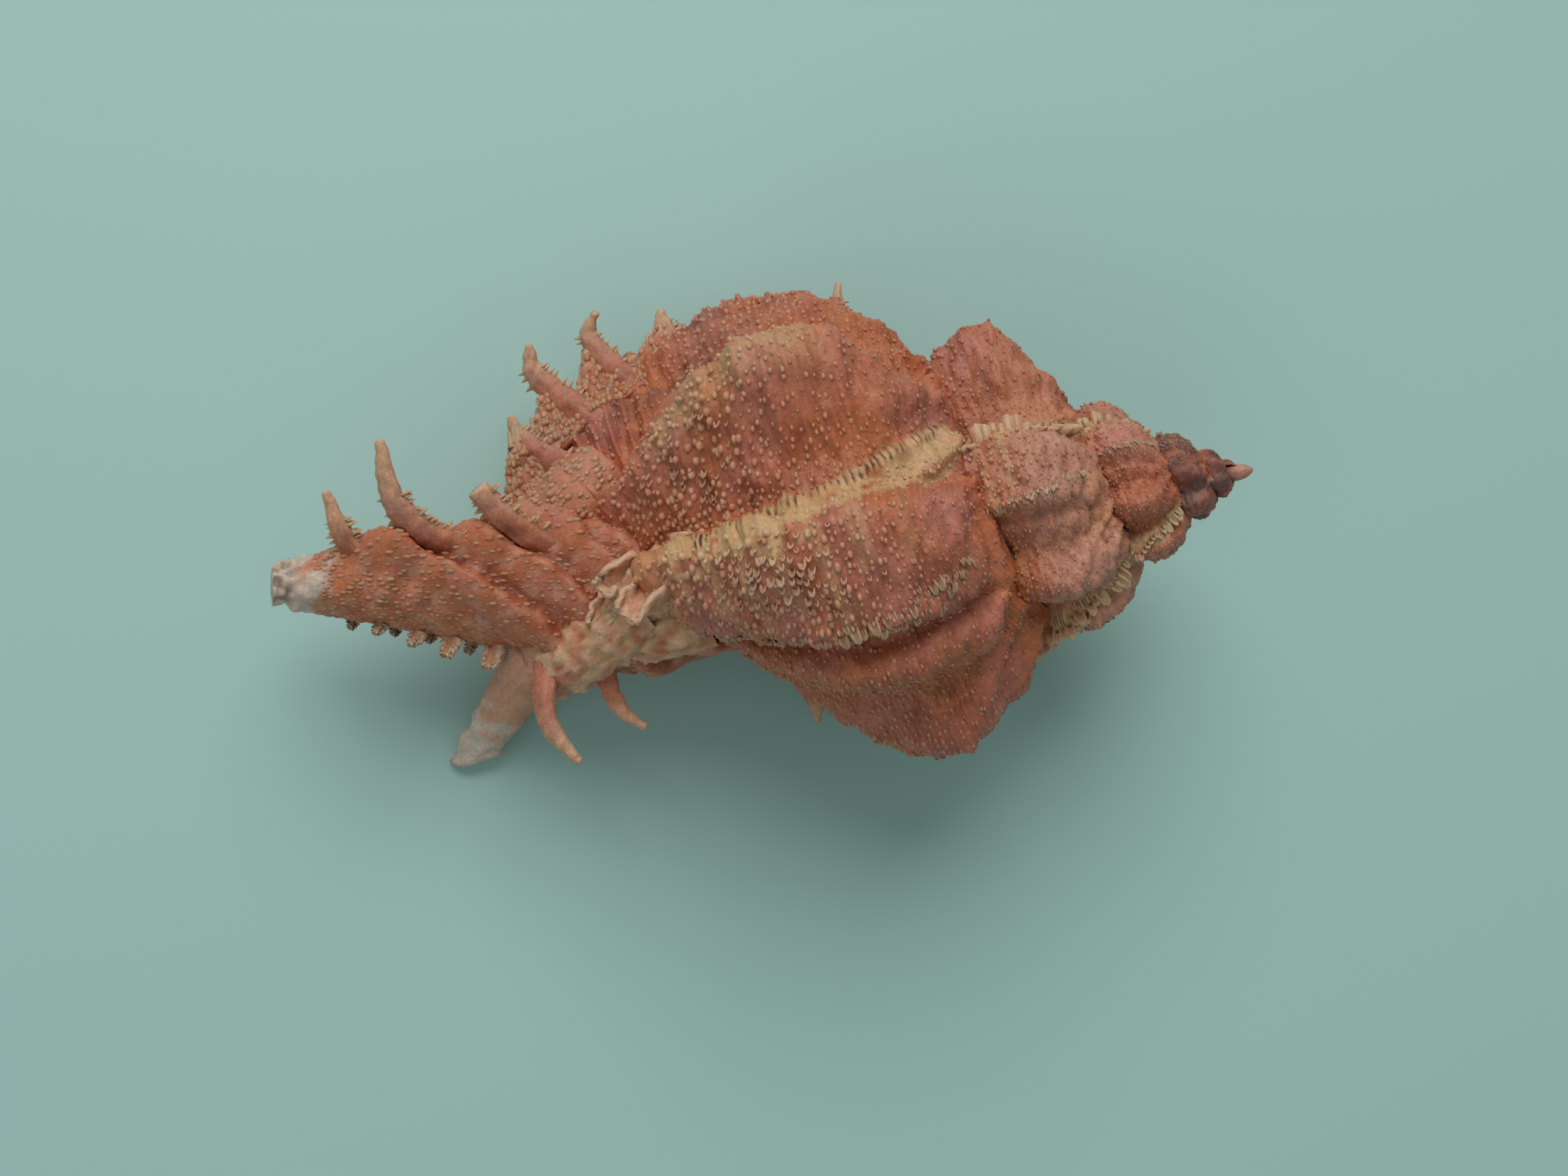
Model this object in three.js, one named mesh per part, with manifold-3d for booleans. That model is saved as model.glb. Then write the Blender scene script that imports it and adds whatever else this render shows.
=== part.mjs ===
// A murex shell about 60 mm long, lying at rest on its last and third-last varices and its canal.
// Millimetres, +Z up. The shell is modelled round its coiling axis and is then laid down.
import * as THREE from "three";
import { mergeVertices } from "three/addons/utils/BufferGeometryUtils.js";
import Module from "manifold-3d";

const wasm = await Module();
wasm.setup();

// ---- Growth ------------------------------------------------------------------------------
// Growth angles are degrees along the spiral. The lip's varix is at 0 and older shell is below 0.
const WHORL_GROWTH = 1.8; // each turn is this many times the size of the one before
const LIP_BEARING = 113; // where the last varix stands about the coiling axis, in degrees
const LIP_REACH = 8; // the rim of the mouth runs this far past the last varix
const OLDEST_ANGLE = -1420;
const VARIX_ANGLES = [0, -111, -237, -342, -447, -558, -668, -780, -892, -1004, -1116, -1228, -1340];

// The wall from the suture down to the neck, for a whorl as large as the last one:
// distance from the apex along the axis, radius, then what a varix and the two nodes add.
const WALL = [
  [18.6, 8.4, 0.8, 0.0, 0.0],
  [19.9, 10.6, 2.0, 0.5, 0.4],
  [22.3, 13.2, 3.0, 1.8, 1.2],
  [25.6, 15.3, 3.3, 3.4, 2.0],
  [29.2, 16.0, 3.2, 3.6, 2.2],
  [33.0, 15.5, 3.2, 2.6, 1.8],
  [36.8, 13.5, 3.2, 1.4, 1.2],
  [40.0, 10.9, 3.8, 0.7, 0.7],
  [42.8, 8.4, 4.1, 0.2, 0.2],
  [44.9, 6.2, 3.2, 0.0, 0.0],
  [46.2, 3.8, 1.8, 0.0, 0.0],
];
const AXIS_GAP = 0.3; // the whorls stop this short of the axis, where the columella fills in

// The two knobbly nodes of each space between varices: where they are, as a share of the space
// after the older varix, and how strong. A space not listed here takes the usual nodes.
const USUAL_NODES = { big: [0.44, 1.1], small: [0.74, 1.0] };
const OWN_NODES = {
  0: { big: [0.385, 1.12], small: [0.76, 0] },
  1: { big: [0.4, 0.9], small: [0.72, 1.0] },
  3: { big: [0.52, 1.8], small: [0.82, 0.9] },
};
const BIG_NODE_SPREAD = [14, 13]; // degrees that a node falls away over, behind and ahead
const SMALL_NODE_SPREAD = [11, 10];
const NEWEST_NODE_SPREAD = [16, 8]; // the newest big node has a steep newer side

// A varix has a nearly flat top with a ledge on its older side, and rounds off on its newer side.
const VARIX_AHEAD = 9; // degrees that it falls away over, on the newer side
const VARIX_TOP = { ends: 21, droppedBy: 31 }; // degrees behind the varix
const VARIX_SLOPE = 0.3; // the share of its height it loses on the way to the ledge
const VARIX_SLOPE_SPAN = 24;
// The last varix drops off more gently, swings back at the canal, and is weaker near the suture.
const LAST_VARIX_TOP = { ends: 14, droppedBy: 46 };
const LAST_VARIX_TURN = { degrees: -24, from: 0.6, to: 0.95 };
const LAST_VARIX_RISE = { least: 0.65, from: 0.5, to: 0.7 };

// Hollows in the wall: how deep, over which places on the wall, and how soft their edges are.
const VALLEY = { depth: 1.3, from: 0.2, to: 0.8, soft: 0.15 }; // wherever nothing stands
const NODE_VALLEY = { depth: 2.2, angle: -51, width: 9, from: 0.15, to: 0.62, soft: 0.1 };
const LEDGE_GROOVE = { depth: 1.3, behind: 29, width: 4.5, from: 0.2, to: 0.85, soft: 0.1 };
const WING_VALLEY = { depth: 1.9, angles: [-46, -22], softAngle: 14, from: 0.6, to: 0.86, soft: 0.14 };

// ---- Columella, canals and mouth ---------------------------------------------------------
// Rows are a place on the centre line (along the axis, forward, upward) and two half widths.
// The columella starts at the apex and becomes the siphonal canal past the mouth.
const COLUMELLA = [
  [1.2, 0, 0, 0.45, 0.45],
  [14, 0, 0, 1.5, 1.5],
  [26, 0, 0, 2.8, 2.8],
  [32, 0.3, 0.1, 4.4, 4.4],
  [38, 0.8, 0.3, 5.7, 5.6],
];
const CANAL = [
  [42, 2.0, 0.7, 5.0, 5.1],
  [46, 4.0, 1.5, 4.0, 4.2],
  [50, 6.2, 2.4, 3.1, 3.4],
  [54, 8.4, 3.3, 2.3, 2.5],
  [58.6, 10.8, 4.1, 1.3, 1.25],
];
const OLD_CANAL = [
  [40.5, 4.0, -1.0, 3.0, 2.6],
  [43.6, 4.2, -2.6, 2.5, 2.1],
  [46.0, 3.0, -4.0, 2.0, 1.7],
  [48.4, 1.4, -5.8, 1.6, 1.3],
  [50.4, 0.2, -7.5, 1.4, 1.1],
  [52.0, -0.6, -9.0, 1.2, 0.9],
];
// The swelling where the canal turns into the last varix.
const NECK_FILL = [
  [47.5, 4.6, 2.6, 1.6, 1.8],
  [45.0, 3.6, 3.8, 2.3, 2.6],
  [42.4, 2.6, 4.9, 2.6, 3.0],
  [40.4, 2.2, 6.2, 2.8, 2.9],
  [38.8, 1.6, 7.4, 2.0, 2.4],
];
// The end of the varix before the last, and the ridge from it down to the old canal.
const END_LOBE = [
  [32.0, 8.4, 1.4, 1.6, 1.4],
  [34.6, 8.4, 0.2, 1.9, 1.5],
  [37.0, 7.9, -0.8, 1.6, 1.3],
  [38.8, 7.1, -1.9, 0.8, 0.7],
];
const OLD_NECK = [
  [36.5, 7.6, -1.6, 1.4, 1.4],
  [38.6, 7.2, -2.4, 1.7, 1.5],
  [40.6, 6.3, -2.9, 1.9, 1.6],
  [42.6, 5.3, -3.6, 2.0, 1.7],
  [44.6, 4.1, -4.4, 1.7, 1.5],
];
const APEX_TIP = [
  [0.0, 0, 0, 0.18, 0.18],
  [1.1, 0, 0, 0.75, 0.75],
  [2.6, 0, 0, 1.35, 1.3],
  [4.0, 0, 0, 1.6, 1.6],
];
const MOUTH = { along: 31.2, radius: 8.9, halfLength: 8.8, halfWidth: 4.9, slant: -15.7 };
const MOUTH_DEPTH = 165; // degrees of spiral that the hollow reaches back from the rim
const MOUTH_CLEAR = 12; // degrees that the cut starts ahead of the rim
const MOUTH_NARROWS = 0.35; // the share of its width that the hollow loses by its inner end
const SLIT_WIDTH = 1.2; // the open slit along the siphonal canal
const SLIT_BEARING = 176;
const SLIT_FLOOR = -0.2; // how far the slit's bottom is outward of the canal's centre line
const SLIT_CLEAR = 2; // how far the cut reaches beyond the canal's surface
const SLIT_PAST_TIP = 1;

// ---- Spines ------------------------------------------------------------------------------
// Rows are places on a spine (along the axis, bearing in degrees, radius) and two half widths.
const SPINES = [
  // on the canal; the third is broken off short
  [[52.2, 24, 10.0, 1.18, 0.68], [53.3, 27, 12.0, 0.82, 0.54], [53.5, 31, 13.6, 0.57, 0.41], [53.7, 36, 15.0, 0.25, 0.23]],
  [[47.6, 27, 9.2, 1.43, 0.87], [49.2, 30, 11.6, 1.02, 0.68], [50.0, 35, 13.9, 0.74, 0.49], [49.8, 42.5, 16.5, 0.3, 0.25]],
  [[42.8, 28, 8.0, 1.18, 0.93], [44.2, 32, 10.2, 0.95, 0.75], [45.0, 36, 11.9, 0.74, 0.66], [45.2, 37, 12.3, 0.69, 0.57]],
  // on the last varix, from the canal up to the shoulder
  [[41.6, 82, 8.0, 1.05, 0.74], [43.6, 82, 9.9, 0.75, 0.54], [44.5, 83, 11.2, 0.49, 0.33], [44.7, 83, 12.2, 0.23, 0.18]],
  [[39.2, 92, 10.0, 1.36, 0.87], [41.9, 90, 13.0, 0.95, 0.68], [43.0, 89, 14.9, 0.66, 0.49], [42.8, 87, 16.4, 0.25, 0.23]],
  [[37.2, 97, 12.0, 1.24, 0.87], [38.8, 96, 15.0, 0.82, 0.61], [39.4, 95, 16.6, 0.57, 0.41], [38.6, 93, 17.8, 0.23, 0.21]],
  [[34.1, 105, 13.2, 1.12, 0.87], [34.9, 104, 16.6, 0.68, 0.54], [35.1, 103, 18.0, 0.2, 0.16]],
  [[24.6, 112, 13.2, 0.99, 0.74], [23.9, 112, 16.6, 0.54, 0.41], [23.5, 111, 18.4, 0.16, 0.15]],
  // on the old canal of the varix before
  [[43.6, -20, 5.0, 1.05, 0.81], [44.5, -41, 8.4, 0.75, 0.61], [44.3, -50, 10.2, 0.57, 0.49], [43.0, -57, 11.9, 0.25, 0.23]],
  [[40.6, -24, 5.2, 0.99, 0.74], [40.7, -45, 7.6, 0.68, 0.54], [40.2, -55, 8.9, 0.49, 0.41], [39.0, -61, 9.9, 0.23, 0.21]],
  // on the varix before that
  [[28.4, -116, 7.0, 1.12, 0.93], [29.6, -118, 10.0, 0.75, 0.61], [30.2, -120, 12.6, 0.18, 0.16]],
];

// ---- Lying at rest -----------------------------------------------------------------------
const REST_ROLL = 85; // about the long way of the shell
const REST_PITCH = 16.6; // apex up or down
const HEADING = 180; // turns the apex to +X

// The spiral is built in these lengths, coarser toward the apex.
const LENGTHS = [
  { from: -344, to: LIP_REACH, steps: 50, wallSteps: 15 },
  { from: -690, to: -344, steps: 38, wallSteps: 11 },
  { from: -1030, to: -690, steps: 28, wallSteps: 8 },
  { from: -1230, to: -1030, steps: 13, wallSteps: 6 },
  { from: OLDEST_ANGLE, to: -1230, steps: 10, wallSteps: 5 },
];
const PLUG = { back: 4, shrink: 0.15 };
const INNER_PLACES = [46.2, 30, 18.6]; // along the axis, where the section's straight side has its corners

// How finely each tube is divided: steps along it and sides round it.
const COLUMELLA_STEPS = { steps: 18, sides: 14 };
const OLD_CANAL_STEPS = { steps: 8, sides: 10 };
const APEX_STEPS = { steps: 4, sides: 10 };
const NECK_STEPS = { steps: 6, sides: 10 };
const LOBE_STEPS = { steps: 5, sides: 10 };
const SPINE_STEPS = { steps: 5, sides: 6 };
const MOUTH_STEPS = { steps: 22, sides: 14 };
const SLIT_STEPS = 9;

const WELD = 1e-5; // points closer than this are made one
const COLOUR = 0xc9745c;

// ---- Small helpers -----------------------------------------------------------------------
const radians = THREE.MathUtils.degToRad;
const smoothstep = THREE.MathUtils.smoothstep; // value, from, to

// A smooth value between the rows of a list, at a place from 0 to 1.
function blendRows(rows, place) {
  const last = rows.length - 1;
  const at = THREE.MathUtils.clamp(place, 0, 1) * last;
  const first = Math.min(Math.floor(at), last - 1);
  const t = at - first;
  const row = (index) => rows[THREE.MathUtils.clamp(index, 0, last)];
  const slope = (index, column) => {
    const span = index > 0 && index < last ? 2 : 1;
    return (row(index + 1)[column] - row(index - 1)[column]) / span;
  };
  return rows[0].map((_, column) => {
    const from = row(first)[column];
    const to = row(first + 1)[column];
    const start = slope(first, column);
    const end = slope(first + 1, column);
    const rise = 3 * t * t - 2 * t * t * t;
    return from + (to - from) * rise + start * (t * t * t - 2 * t * t + t) + end * (t * t * t - t * t);
  });
}

function polar(along, bearing, radius) {
  const angle = radians(bearing);
  return new THREE.Vector3(along, radius * Math.cos(angle), radius * Math.sin(angle));
}

// A closed solid through rings with the same number of points, flat at both ends.
function ringsToSolid(rings) {
  const sides = rings[0].length;
  const points = rings.flat();
  const centre = (ring) => ring.reduce((sum, p) => sum.add(p), new THREE.Vector3()).divideScalar(sides);
  points.push(centre(rings[0]), centre(rings[rings.length - 1]));
  const startCentre = points.length - 2;
  const endCentre = points.length - 1;
  const lastRing = (rings.length - 1) * sides;
  const index = [];
  for (let side = 0; side < sides; side++) {
    const next = (side + 1) % sides;
    for (let ring = 0; ring < rings.length - 1; ring++) {
      const here = ring * sides;
      const there = here + sides;
      index.push(here + side, here + next, there + next, here + side, there + next, there + side);
    }
    index.push(startCentre, next, side, endCentre, lastRing + side, lastRing + next);
  }
  const geometry = new THREE.BufferGeometry().setFromPoints(points);
  geometry.setIndex(index);
  return toSolid(geometry);
}

function toSolid(geometry) {
  const merged = mergeVertices(geometry, WELD);
  const vertProperties = new Float32Array(merged.attributes.position.array);
  let triVerts = new Uint32Array(merged.index.array);
  if (signedVolume(vertProperties, triVerts) < 0) triVerts = triVerts.reverse();
  return new wasm.Manifold(new wasm.Mesh({ numProp: 3, vertProperties, triVerts }));
}

function signedVolume(vertices, triangles) {
  const corner = (i) => new THREE.Vector3().fromArray(vertices, triangles[i] * 3);
  let volume = 0;
  for (let i = 0; i < triangles.length; i += 3) {
    volume += corner(i).dot(corner(i + 1).cross(corner(i + 2))) / 6;
  }
  return volume;
}

// ---- The whorls --------------------------------------------------------------------------
const growth = (angle) => WHORL_GROWTH ** (angle / 360);

function fallAway(distance, [behind, ahead]) {
  const width = distance < 0 ? behind : ahead;
  return Math.exp(-((distance / width) ** 2));
}

// 1 between two values, falling to 0 over a soft stretch on both sides.
function band(value, from, to, soft) {
  return smoothstep(value, from - soft, from) * (1 - smoothstep(value, to, to + soft));
}

function bell(value, middle, width) {
  return Math.exp(-(((value - middle) / width) ** 2));
}

function varixShape(distance, top = VARIX_TOP) {
  if (distance >= 0) return Math.exp(-((distance / VARIX_AHEAD) ** 3));
  const slope = 1 - VARIX_SLOPE * (distance / VARIX_SLOPE_SPAN) ** 2;
  return Math.max(slope, 0) * (1 - smoothstep(-distance, top.ends, top.droppedBy));
}

function lastVarixShape(angle, place) {
  const turned = LAST_VARIX_TURN.degrees * smoothstep(place, LAST_VARIX_TURN.from, LAST_VARIX_TURN.to);
  const crest = THREE.MathUtils.clamp(angle, turned, 0);
  const { least, from, to } = LAST_VARIX_RISE;
  return (least + (1 - least) * smoothstep(place, from, to)) * varixShape(angle - crest, LAST_VARIX_TOP);
}

// How much of a varix, a big node and a small node there is at a place on the wall.
function reliefAt(angle, place) {
  const relief = [lastVarixShape(angle, place), 0, 0];
  VARIX_ANGLES.forEach((varix, index) => {
    if (index > 0) relief[0] = Math.max(relief[0], varixShape(angle - varix));
    if (index + 1 === VARIX_ANGLES.length) return;
    const older = VARIX_ANGLES[index + 1];
    const { big, small } = OWN_NODES[index] ?? USUAL_NODES;
    const spread = index === 0 ? NEWEST_NODE_SPREAD : BIG_NODE_SPREAD;
    relief[1] += big[1] * fallAway(angle - older - big[0] * (varix - older), spread);
    relief[2] += small[1] * fallAway(angle - older - small[0] * (varix - older), SMALL_NODE_SPREAD);
  });
  return relief;
}

// How far the wall sinks, where this much relief stands on it.
function valleyAt(angle, place, relief) {
  const onWall = ({ from, to, soft }) => band(place, from, to, soft);
  const open = 1 - THREE.MathUtils.clamp(relief, 0, 1);
  const behindNode = bell(angle, NODE_VALLEY.angle, NODE_VALLEY.width);
  const groove = (varix) => bell(angle, varix - LEDGE_GROOVE.behind, LEDGE_GROOVE.width);
  const behindLedges = VARIX_ANGLES.slice(1).reduce((sum, varix) => sum + groove(varix), 0);
  const underWing = band(angle, ...WING_VALLEY.angles, WING_VALLEY.softAngle);
  return (
    VALLEY.depth * open * onWall(VALLEY) +
    NODE_VALLEY.depth * behindNode * onWall(NODE_VALLEY) +
    LEDGE_GROOVE.depth * behindLedges * onWall(LEDGE_GROOVE) +
    WING_VALLEY.depth * underWing * onWall(WING_VALLEY)
  );
}

function wallPoint(angle, place) {
  const [along, radius, crest, big, small] = blendRows(WALL, place);
  const [varix, bigNode, smallNode] = reliefAt(angle, place);
  const size = growth(angle);
  const raised = radius + crest * varix + big * bigNode + small * smallNode;
  const height = raised - valleyAt(angle, place, varix + bigNode + smallNode);
  return polar(along * size, LIP_BEARING + angle, height * size);
}

// A solid length of the spiral, under one turn long. It starts with a plug, a smaller ring set
// back inside the length before it, so the two join without faces that only just meet.
function whorlPiece({ from, to, steps, wallSteps }) {
  const rings = [];
  for (let step = 0; step <= steps; step++) {
    rings.push(whorlRing(from + ((to - from) * step) / steps, wallSteps));
  }
  const plug = whorlRing(from - PLUG.back, wallSteps);
  const middle = plug.reduce((sum, point) => sum.add(point), new THREE.Vector3());
  middle.divideScalar(plug.length);
  plug.forEach((point) => point.lerp(middle, PLUG.shrink));
  return ringsToSolid([plug, ...rings]);
}

function whorlRing(angle, wallSteps) {
  const ring = [];
  for (let place = 0; place <= wallSteps; place++) ring.push(wallPoint(angle, place / wallSteps));
  const size = growth(angle);
  const inner = (along) => polar(along * size, LIP_BEARING + angle, AXIS_GAP * size);
  return [...ring, ...INNER_PLACES.map(inner)];
}

// ---- Tubes: columella, canals and spines -------------------------------------------------
const MOSTLY_ALONG = 0.8; // a tube steeper than this to the axis takes the axis as its guide

// A tube through rows of place and two half widths. Its first half width lies along the axis, or
// upward where the tube itself runs along the axis.
function tube(rows, { steps, sides }) {
  const places = [];
  for (let step = 0; step <= steps; step++) places.push(blendRows(rows, step / steps));
  const centres = places.map(([x, y, z]) => new THREE.Vector3(x, y, z));
  const rings = centres.map((centre, index) => {
    const before = centres[Math.max(index - 1, 0)];
    const after = centres[Math.min(index + 1, steps)];
    const ahead = after.clone().sub(before).normalize();
    const guide = Math.abs(ahead.x) > MOSTLY_ALONG ? new THREE.Vector3(0, 0, 1) : new THREE.Vector3(1, 0, 0);
    const across = guide.addScaledVector(ahead, -guide.dot(ahead)).normalize();
    const through = new THREE.Vector3().crossVectors(ahead, across);
    const [, , , wide, thick] = places[index];
    const ring = [];
    for (let side = 0; side < sides; side++) {
      const turn = (2 * Math.PI * side) / sides;
      const point = centre.clone().addScaledVector(across, wide * Math.cos(turn));
      ring.push(point.addScaledVector(through, thick * Math.sin(turn)));
    }
    return ring;
  });
  return ringsToSolid(rings);
}

function spine(rows) {
  const straight = rows.map(([along, bearing, radius, wide, thick]) => {
    const place = polar(along, bearing, radius);
    return [place.x, place.y, place.z, wide, thick];
  });
  return tube(straight, SPINE_STEPS);
}

// ---- The mouth and the slit --------------------------------------------------------------
function mouthHollow() {
  const rings = [];
  const { steps, sides } = MOUTH_STEPS;
  const slant = radians(MOUTH.slant);
  const start = LIP_REACH + MOUTH_CLEAR;
  for (let step = 0; step <= steps; step++) {
    const angle = start - ((MOUTH_DEPTH + MOUTH_CLEAR) * step) / steps;
    const size = growth(Math.min(angle, 0));
    const narrow = 1 - MOUTH_NARROWS * Math.max(0, -angle / MOUTH_DEPTH) ** 2;
    const ring = [];
    for (let side = 0; side < sides; side++) {
      const turn = (2 * Math.PI * side) / sides;
      const down = MOUTH.halfLength * narrow * Math.cos(turn);
      const out = MOUTH.halfWidth * narrow * Math.sin(turn);
      const along = MOUTH.along + down * Math.cos(slant) - out * Math.sin(slant);
      const radius = MOUTH.radius + down * Math.sin(slant) + out * Math.cos(slant);
      ring.push(polar(along * size, LIP_BEARING + angle, radius * size));
    }
    rings.push(ring);
  }
  return ringsToSolid(rings);
}

function canalSlit() {
  const outward = polar(0, SLIT_BEARING, 1);
  const aside = polar(0, SLIT_BEARING + 90, 1);
  const slitRows = [COLUMELLA[COLUMELLA.length - 1], ...CANAL];
  const rings = [];
  for (let step = 0; step <= SLIT_STEPS; step++) {
    const [x, y, z, wide] = blendRows(slitRows, step / SLIT_STEPS);
    const centre = new THREE.Vector3(x + (step === SLIT_STEPS ? SLIT_PAST_TIP : 0), y, z);
    const corner = (depth, side) =>
      centre.clone().addScaledVector(outward, depth).addScaledVector(aside, (side * SLIT_WIDTH) / 2);
    const top = wide + SLIT_CLEAR;
    rings.push([corner(SLIT_FLOOR, -1), corner(SLIT_FLOOR, 1), corner(top, 1), corner(top, -1)]);
  }
  return ringsToSolid(rings);
}

// ---- Putting it together -----------------------------------------------------------------
function shellSolid() {
  const solids = [...LENGTHS.map(whorlPiece), tube([...COLUMELLA, ...CANAL], COLUMELLA_STEPS)];
  solids.push(tube(OLD_CANAL, OLD_CANAL_STEPS), tube(APEX_TIP, APEX_STEPS), tube(NECK_FILL, NECK_STEPS));
  solids.push(tube(END_LOBE, LOBE_STEPS), tube(OLD_NECK, LOBE_STEPS), ...SPINES.map(spine));
  const grown = solids.reduce((whole, solid) => whole.add(solid));
  return grown.subtract(mouthHollow()).subtract(canalSlit());
}

function toGeometry(solid) {
  const { vertProperties, triVerts } = solid.getMesh();
  const geometry = new THREE.BufferGeometry();
  geometry.setAttribute("position", new THREE.BufferAttribute(new Float32Array(vertProperties), 3));
  geometry.setIndex(new THREE.BufferAttribute(new Uint32Array(triVerts), 1));
  return geometry;
}

// Lays the shell down and puts the middle of its footprint at the origin.
function layDown(geometry) {
  geometry.rotateX(radians(REST_ROLL));
  geometry.rotateY(radians(REST_PITCH));
  geometry.rotateZ(radians(HEADING));
  geometry.computeBoundingBox();
  const { min, max } = geometry.boundingBox;
  geometry.translate(-(min.x + max.x) / 2, -(min.y + max.y) / 2, -min.z);
}

const geometry = toGeometry(shellSolid());
layDown(geometry);
geometry.computeVertexNormals();
const material = new THREE.MeshStandardMaterial({ color: COLOUR, roughness: 0.6, metalness: 0 });
const shell = new THREE.Mesh(geometry, material);
shell.name = "shell";

const murex = new THREE.Group();
murex.add(shell);
export default murex;
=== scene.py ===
"""A murex shell, about 60 mm long, lying on a pale floor.

The shell is worked out in its own frame, in millimetres. A place is (along, front, up): along the coiling
axis from the apex toward the canal, with bearings about that axis measured from front toward up.
Growth angles are degrees along the spiral, 0 at the last varix and below 0 in older shell. A place on the
wall, from 0 at the suture to 1 at the neck, says where a point is across the whorl.
"""

import math

import bpy
import numpy as np
from mathutils import Euler, Matrix, Vector


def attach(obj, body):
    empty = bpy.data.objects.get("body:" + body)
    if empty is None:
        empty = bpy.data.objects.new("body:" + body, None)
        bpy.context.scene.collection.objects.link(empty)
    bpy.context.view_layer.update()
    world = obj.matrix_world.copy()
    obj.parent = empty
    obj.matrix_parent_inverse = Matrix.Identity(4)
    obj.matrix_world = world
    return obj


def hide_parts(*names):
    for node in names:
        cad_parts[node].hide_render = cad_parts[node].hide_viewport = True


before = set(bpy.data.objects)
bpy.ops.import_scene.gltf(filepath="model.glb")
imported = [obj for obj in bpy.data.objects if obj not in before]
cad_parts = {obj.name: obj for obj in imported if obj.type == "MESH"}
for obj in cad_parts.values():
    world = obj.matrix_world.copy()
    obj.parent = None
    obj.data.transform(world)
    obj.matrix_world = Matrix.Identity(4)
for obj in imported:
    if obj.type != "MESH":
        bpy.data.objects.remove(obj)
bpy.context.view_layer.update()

# ---- Where the shell lies in the part ----
REST_ROLL = math.radians(85)
REST_PITCH = math.radians(16.6)
HEADING = math.radians(180)
APEX_AT = np.array([29.78, -2.09, 16.93])
MM = 0.001

# ---- Growth law: the CAD part's, carried on into smaller whorls at the apex ----
WHORL_GROWTH = 1.8
LIP_BEARING = 113
LIP_REACH = 8  # growth angle of the lip's edge
OLDEST_ANGLE = -1860
BODY_WHORL_START = -344
VARIX_ANGLES = [0, -111, -237, -342, -447, -558, -668, *range(-780, -1789, -112)]
# Along the axis, radius, then what a varix, a big node and a small node add.
WALL = [
    [18.6, 8.4, 0.8, 0.0, 0.0],
    [19.9, 10.6, 2.0, 0.5, 0.4],
    [22.3, 13.2, 3.0, 1.8, 1.2],
    [25.6, 15.3, 3.3, 3.4, 2.0],
    [29.2, 16.0, 3.2, 3.6, 2.2],
    [33.0, 15.5, 3.2, 2.6, 1.8],
    [36.8, 13.5, 3.2, 1.4, 1.2],
    [40.0, 10.9, 3.8, 0.7, 0.7],
    [42.8, 8.4, 4.1, 0.2, 0.2],
    [44.9, 6.2, 3.2, 0.0, 0.0],
    [46.2, 3.8, 1.8, 0.0, 0.0],
]
USUAL_NODES = ((0.44, 1.1), (0.74, 1.0))
OWN_NODES = {
    0: ((0.385, 1.12), (0.76, 0.0)),
    1: ((0.40, 0.9), (0.72, 1.0)),
    3: ((0.52, 1.8), (0.82, 0.9)),
}
VARIX_AHEAD = 9  # degrees that a varix falls away over, on its newer side
VARIX_TOP = (21, 31)  # degrees behind the varix where its flat top ends, and where it has dropped off
LAST_VARIX_TOP = (14, 46)  # the last varix drops off more gently
LAST_VARIX_TURN = -24  # the last varix swings back by this much at the canal
BIG_NODE_SPREAD = (14, 13)
NEWEST_NODE_SPREAD = (16, 8)  # the newest big node has a steep newer side
SMALL_NODE_SPREAD = (11, 10)

# ---- Canals, mouth and spines, placed as in the CAD part. The apex tip is finer than the CAD's ----
# Centre line (along, front, up) and two half widths.
CANAL = [
    [26, 0.0, 0.0, 2.8, 2.8],
    [32, 0.3, 0.1, 4.4, 4.4],
    [38, 0.8, 0.3, 5.7, 5.6],
    [42, 2.0, 0.7, 5.0, 5.1],
    [46, 4.0, 1.5, 4.0, 4.2],
    [50, 6.2, 2.4, 3.1, 3.4],
    [54, 8.4, 3.3, 2.3, 2.5],
    [58.6, 10.8, 4.1, 1.3, 1.25],
]
OLD_CANAL = [
    [40.5, 4.0, -1.0, 3.0, 2.6],
    [43.6, 4.2, -2.6, 2.5, 2.1],
    [46.0, 3.0, -4.0, 2.0, 1.7],
    [48.4, 1.4, -5.8, 1.6, 1.3],
    [50.4, 0.2, -7.5, 1.4, 1.1],
    [52.0, -0.6, -9.0, 1.2, 0.9],
]
END_LOBE = [
    [32.0, 8.4, 1.4, 1.6, 1.4],
    [34.6, 8.4, 0.2, 1.9, 1.5],
    [37.0, 7.9, -0.8, 1.6, 1.3],
    [38.8, 7.1, -1.9, 0.8, 0.7],
]
OLD_NECK = [
    [36.5, 7.6, -1.6, 1.4, 1.4],
    [38.6, 7.2, -2.4, 1.7, 1.5],
    [40.6, 6.3, -2.9, 1.9, 1.6],
    [42.6, 5.3, -3.6, 2.0, 1.7],
    [44.6, 4.1, -4.4, 1.7, 1.5],
]
APEX_TIP = [
    [0.0, 0, 0, 0.12, 0.12],
    [0.5, 0, 0, 0.42, 0.42],
    [1.2, 0, 0, 0.50, 0.50],
    [2.0, 0, 0, 0.40, 0.40],
]
MOUTH = {"along": 31.2, "radius": 8.9, "half_length": 8.8, "half_width": 4.9, "slant": math.radians(-15.7)}
MOUTH_DEPTH = 165  # degrees of growth that the hollow goes back
SLIT_BEARING = 176
SLIT_HALF_WIDTHS = (0.35, 0.6)  # at the bottom and at the edge
SLIT_STARTS = (38, 42)  # along the canal, where it begins and where it is full
SLIT_DEPTH = 0.75  # share of the canal's radius

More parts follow.
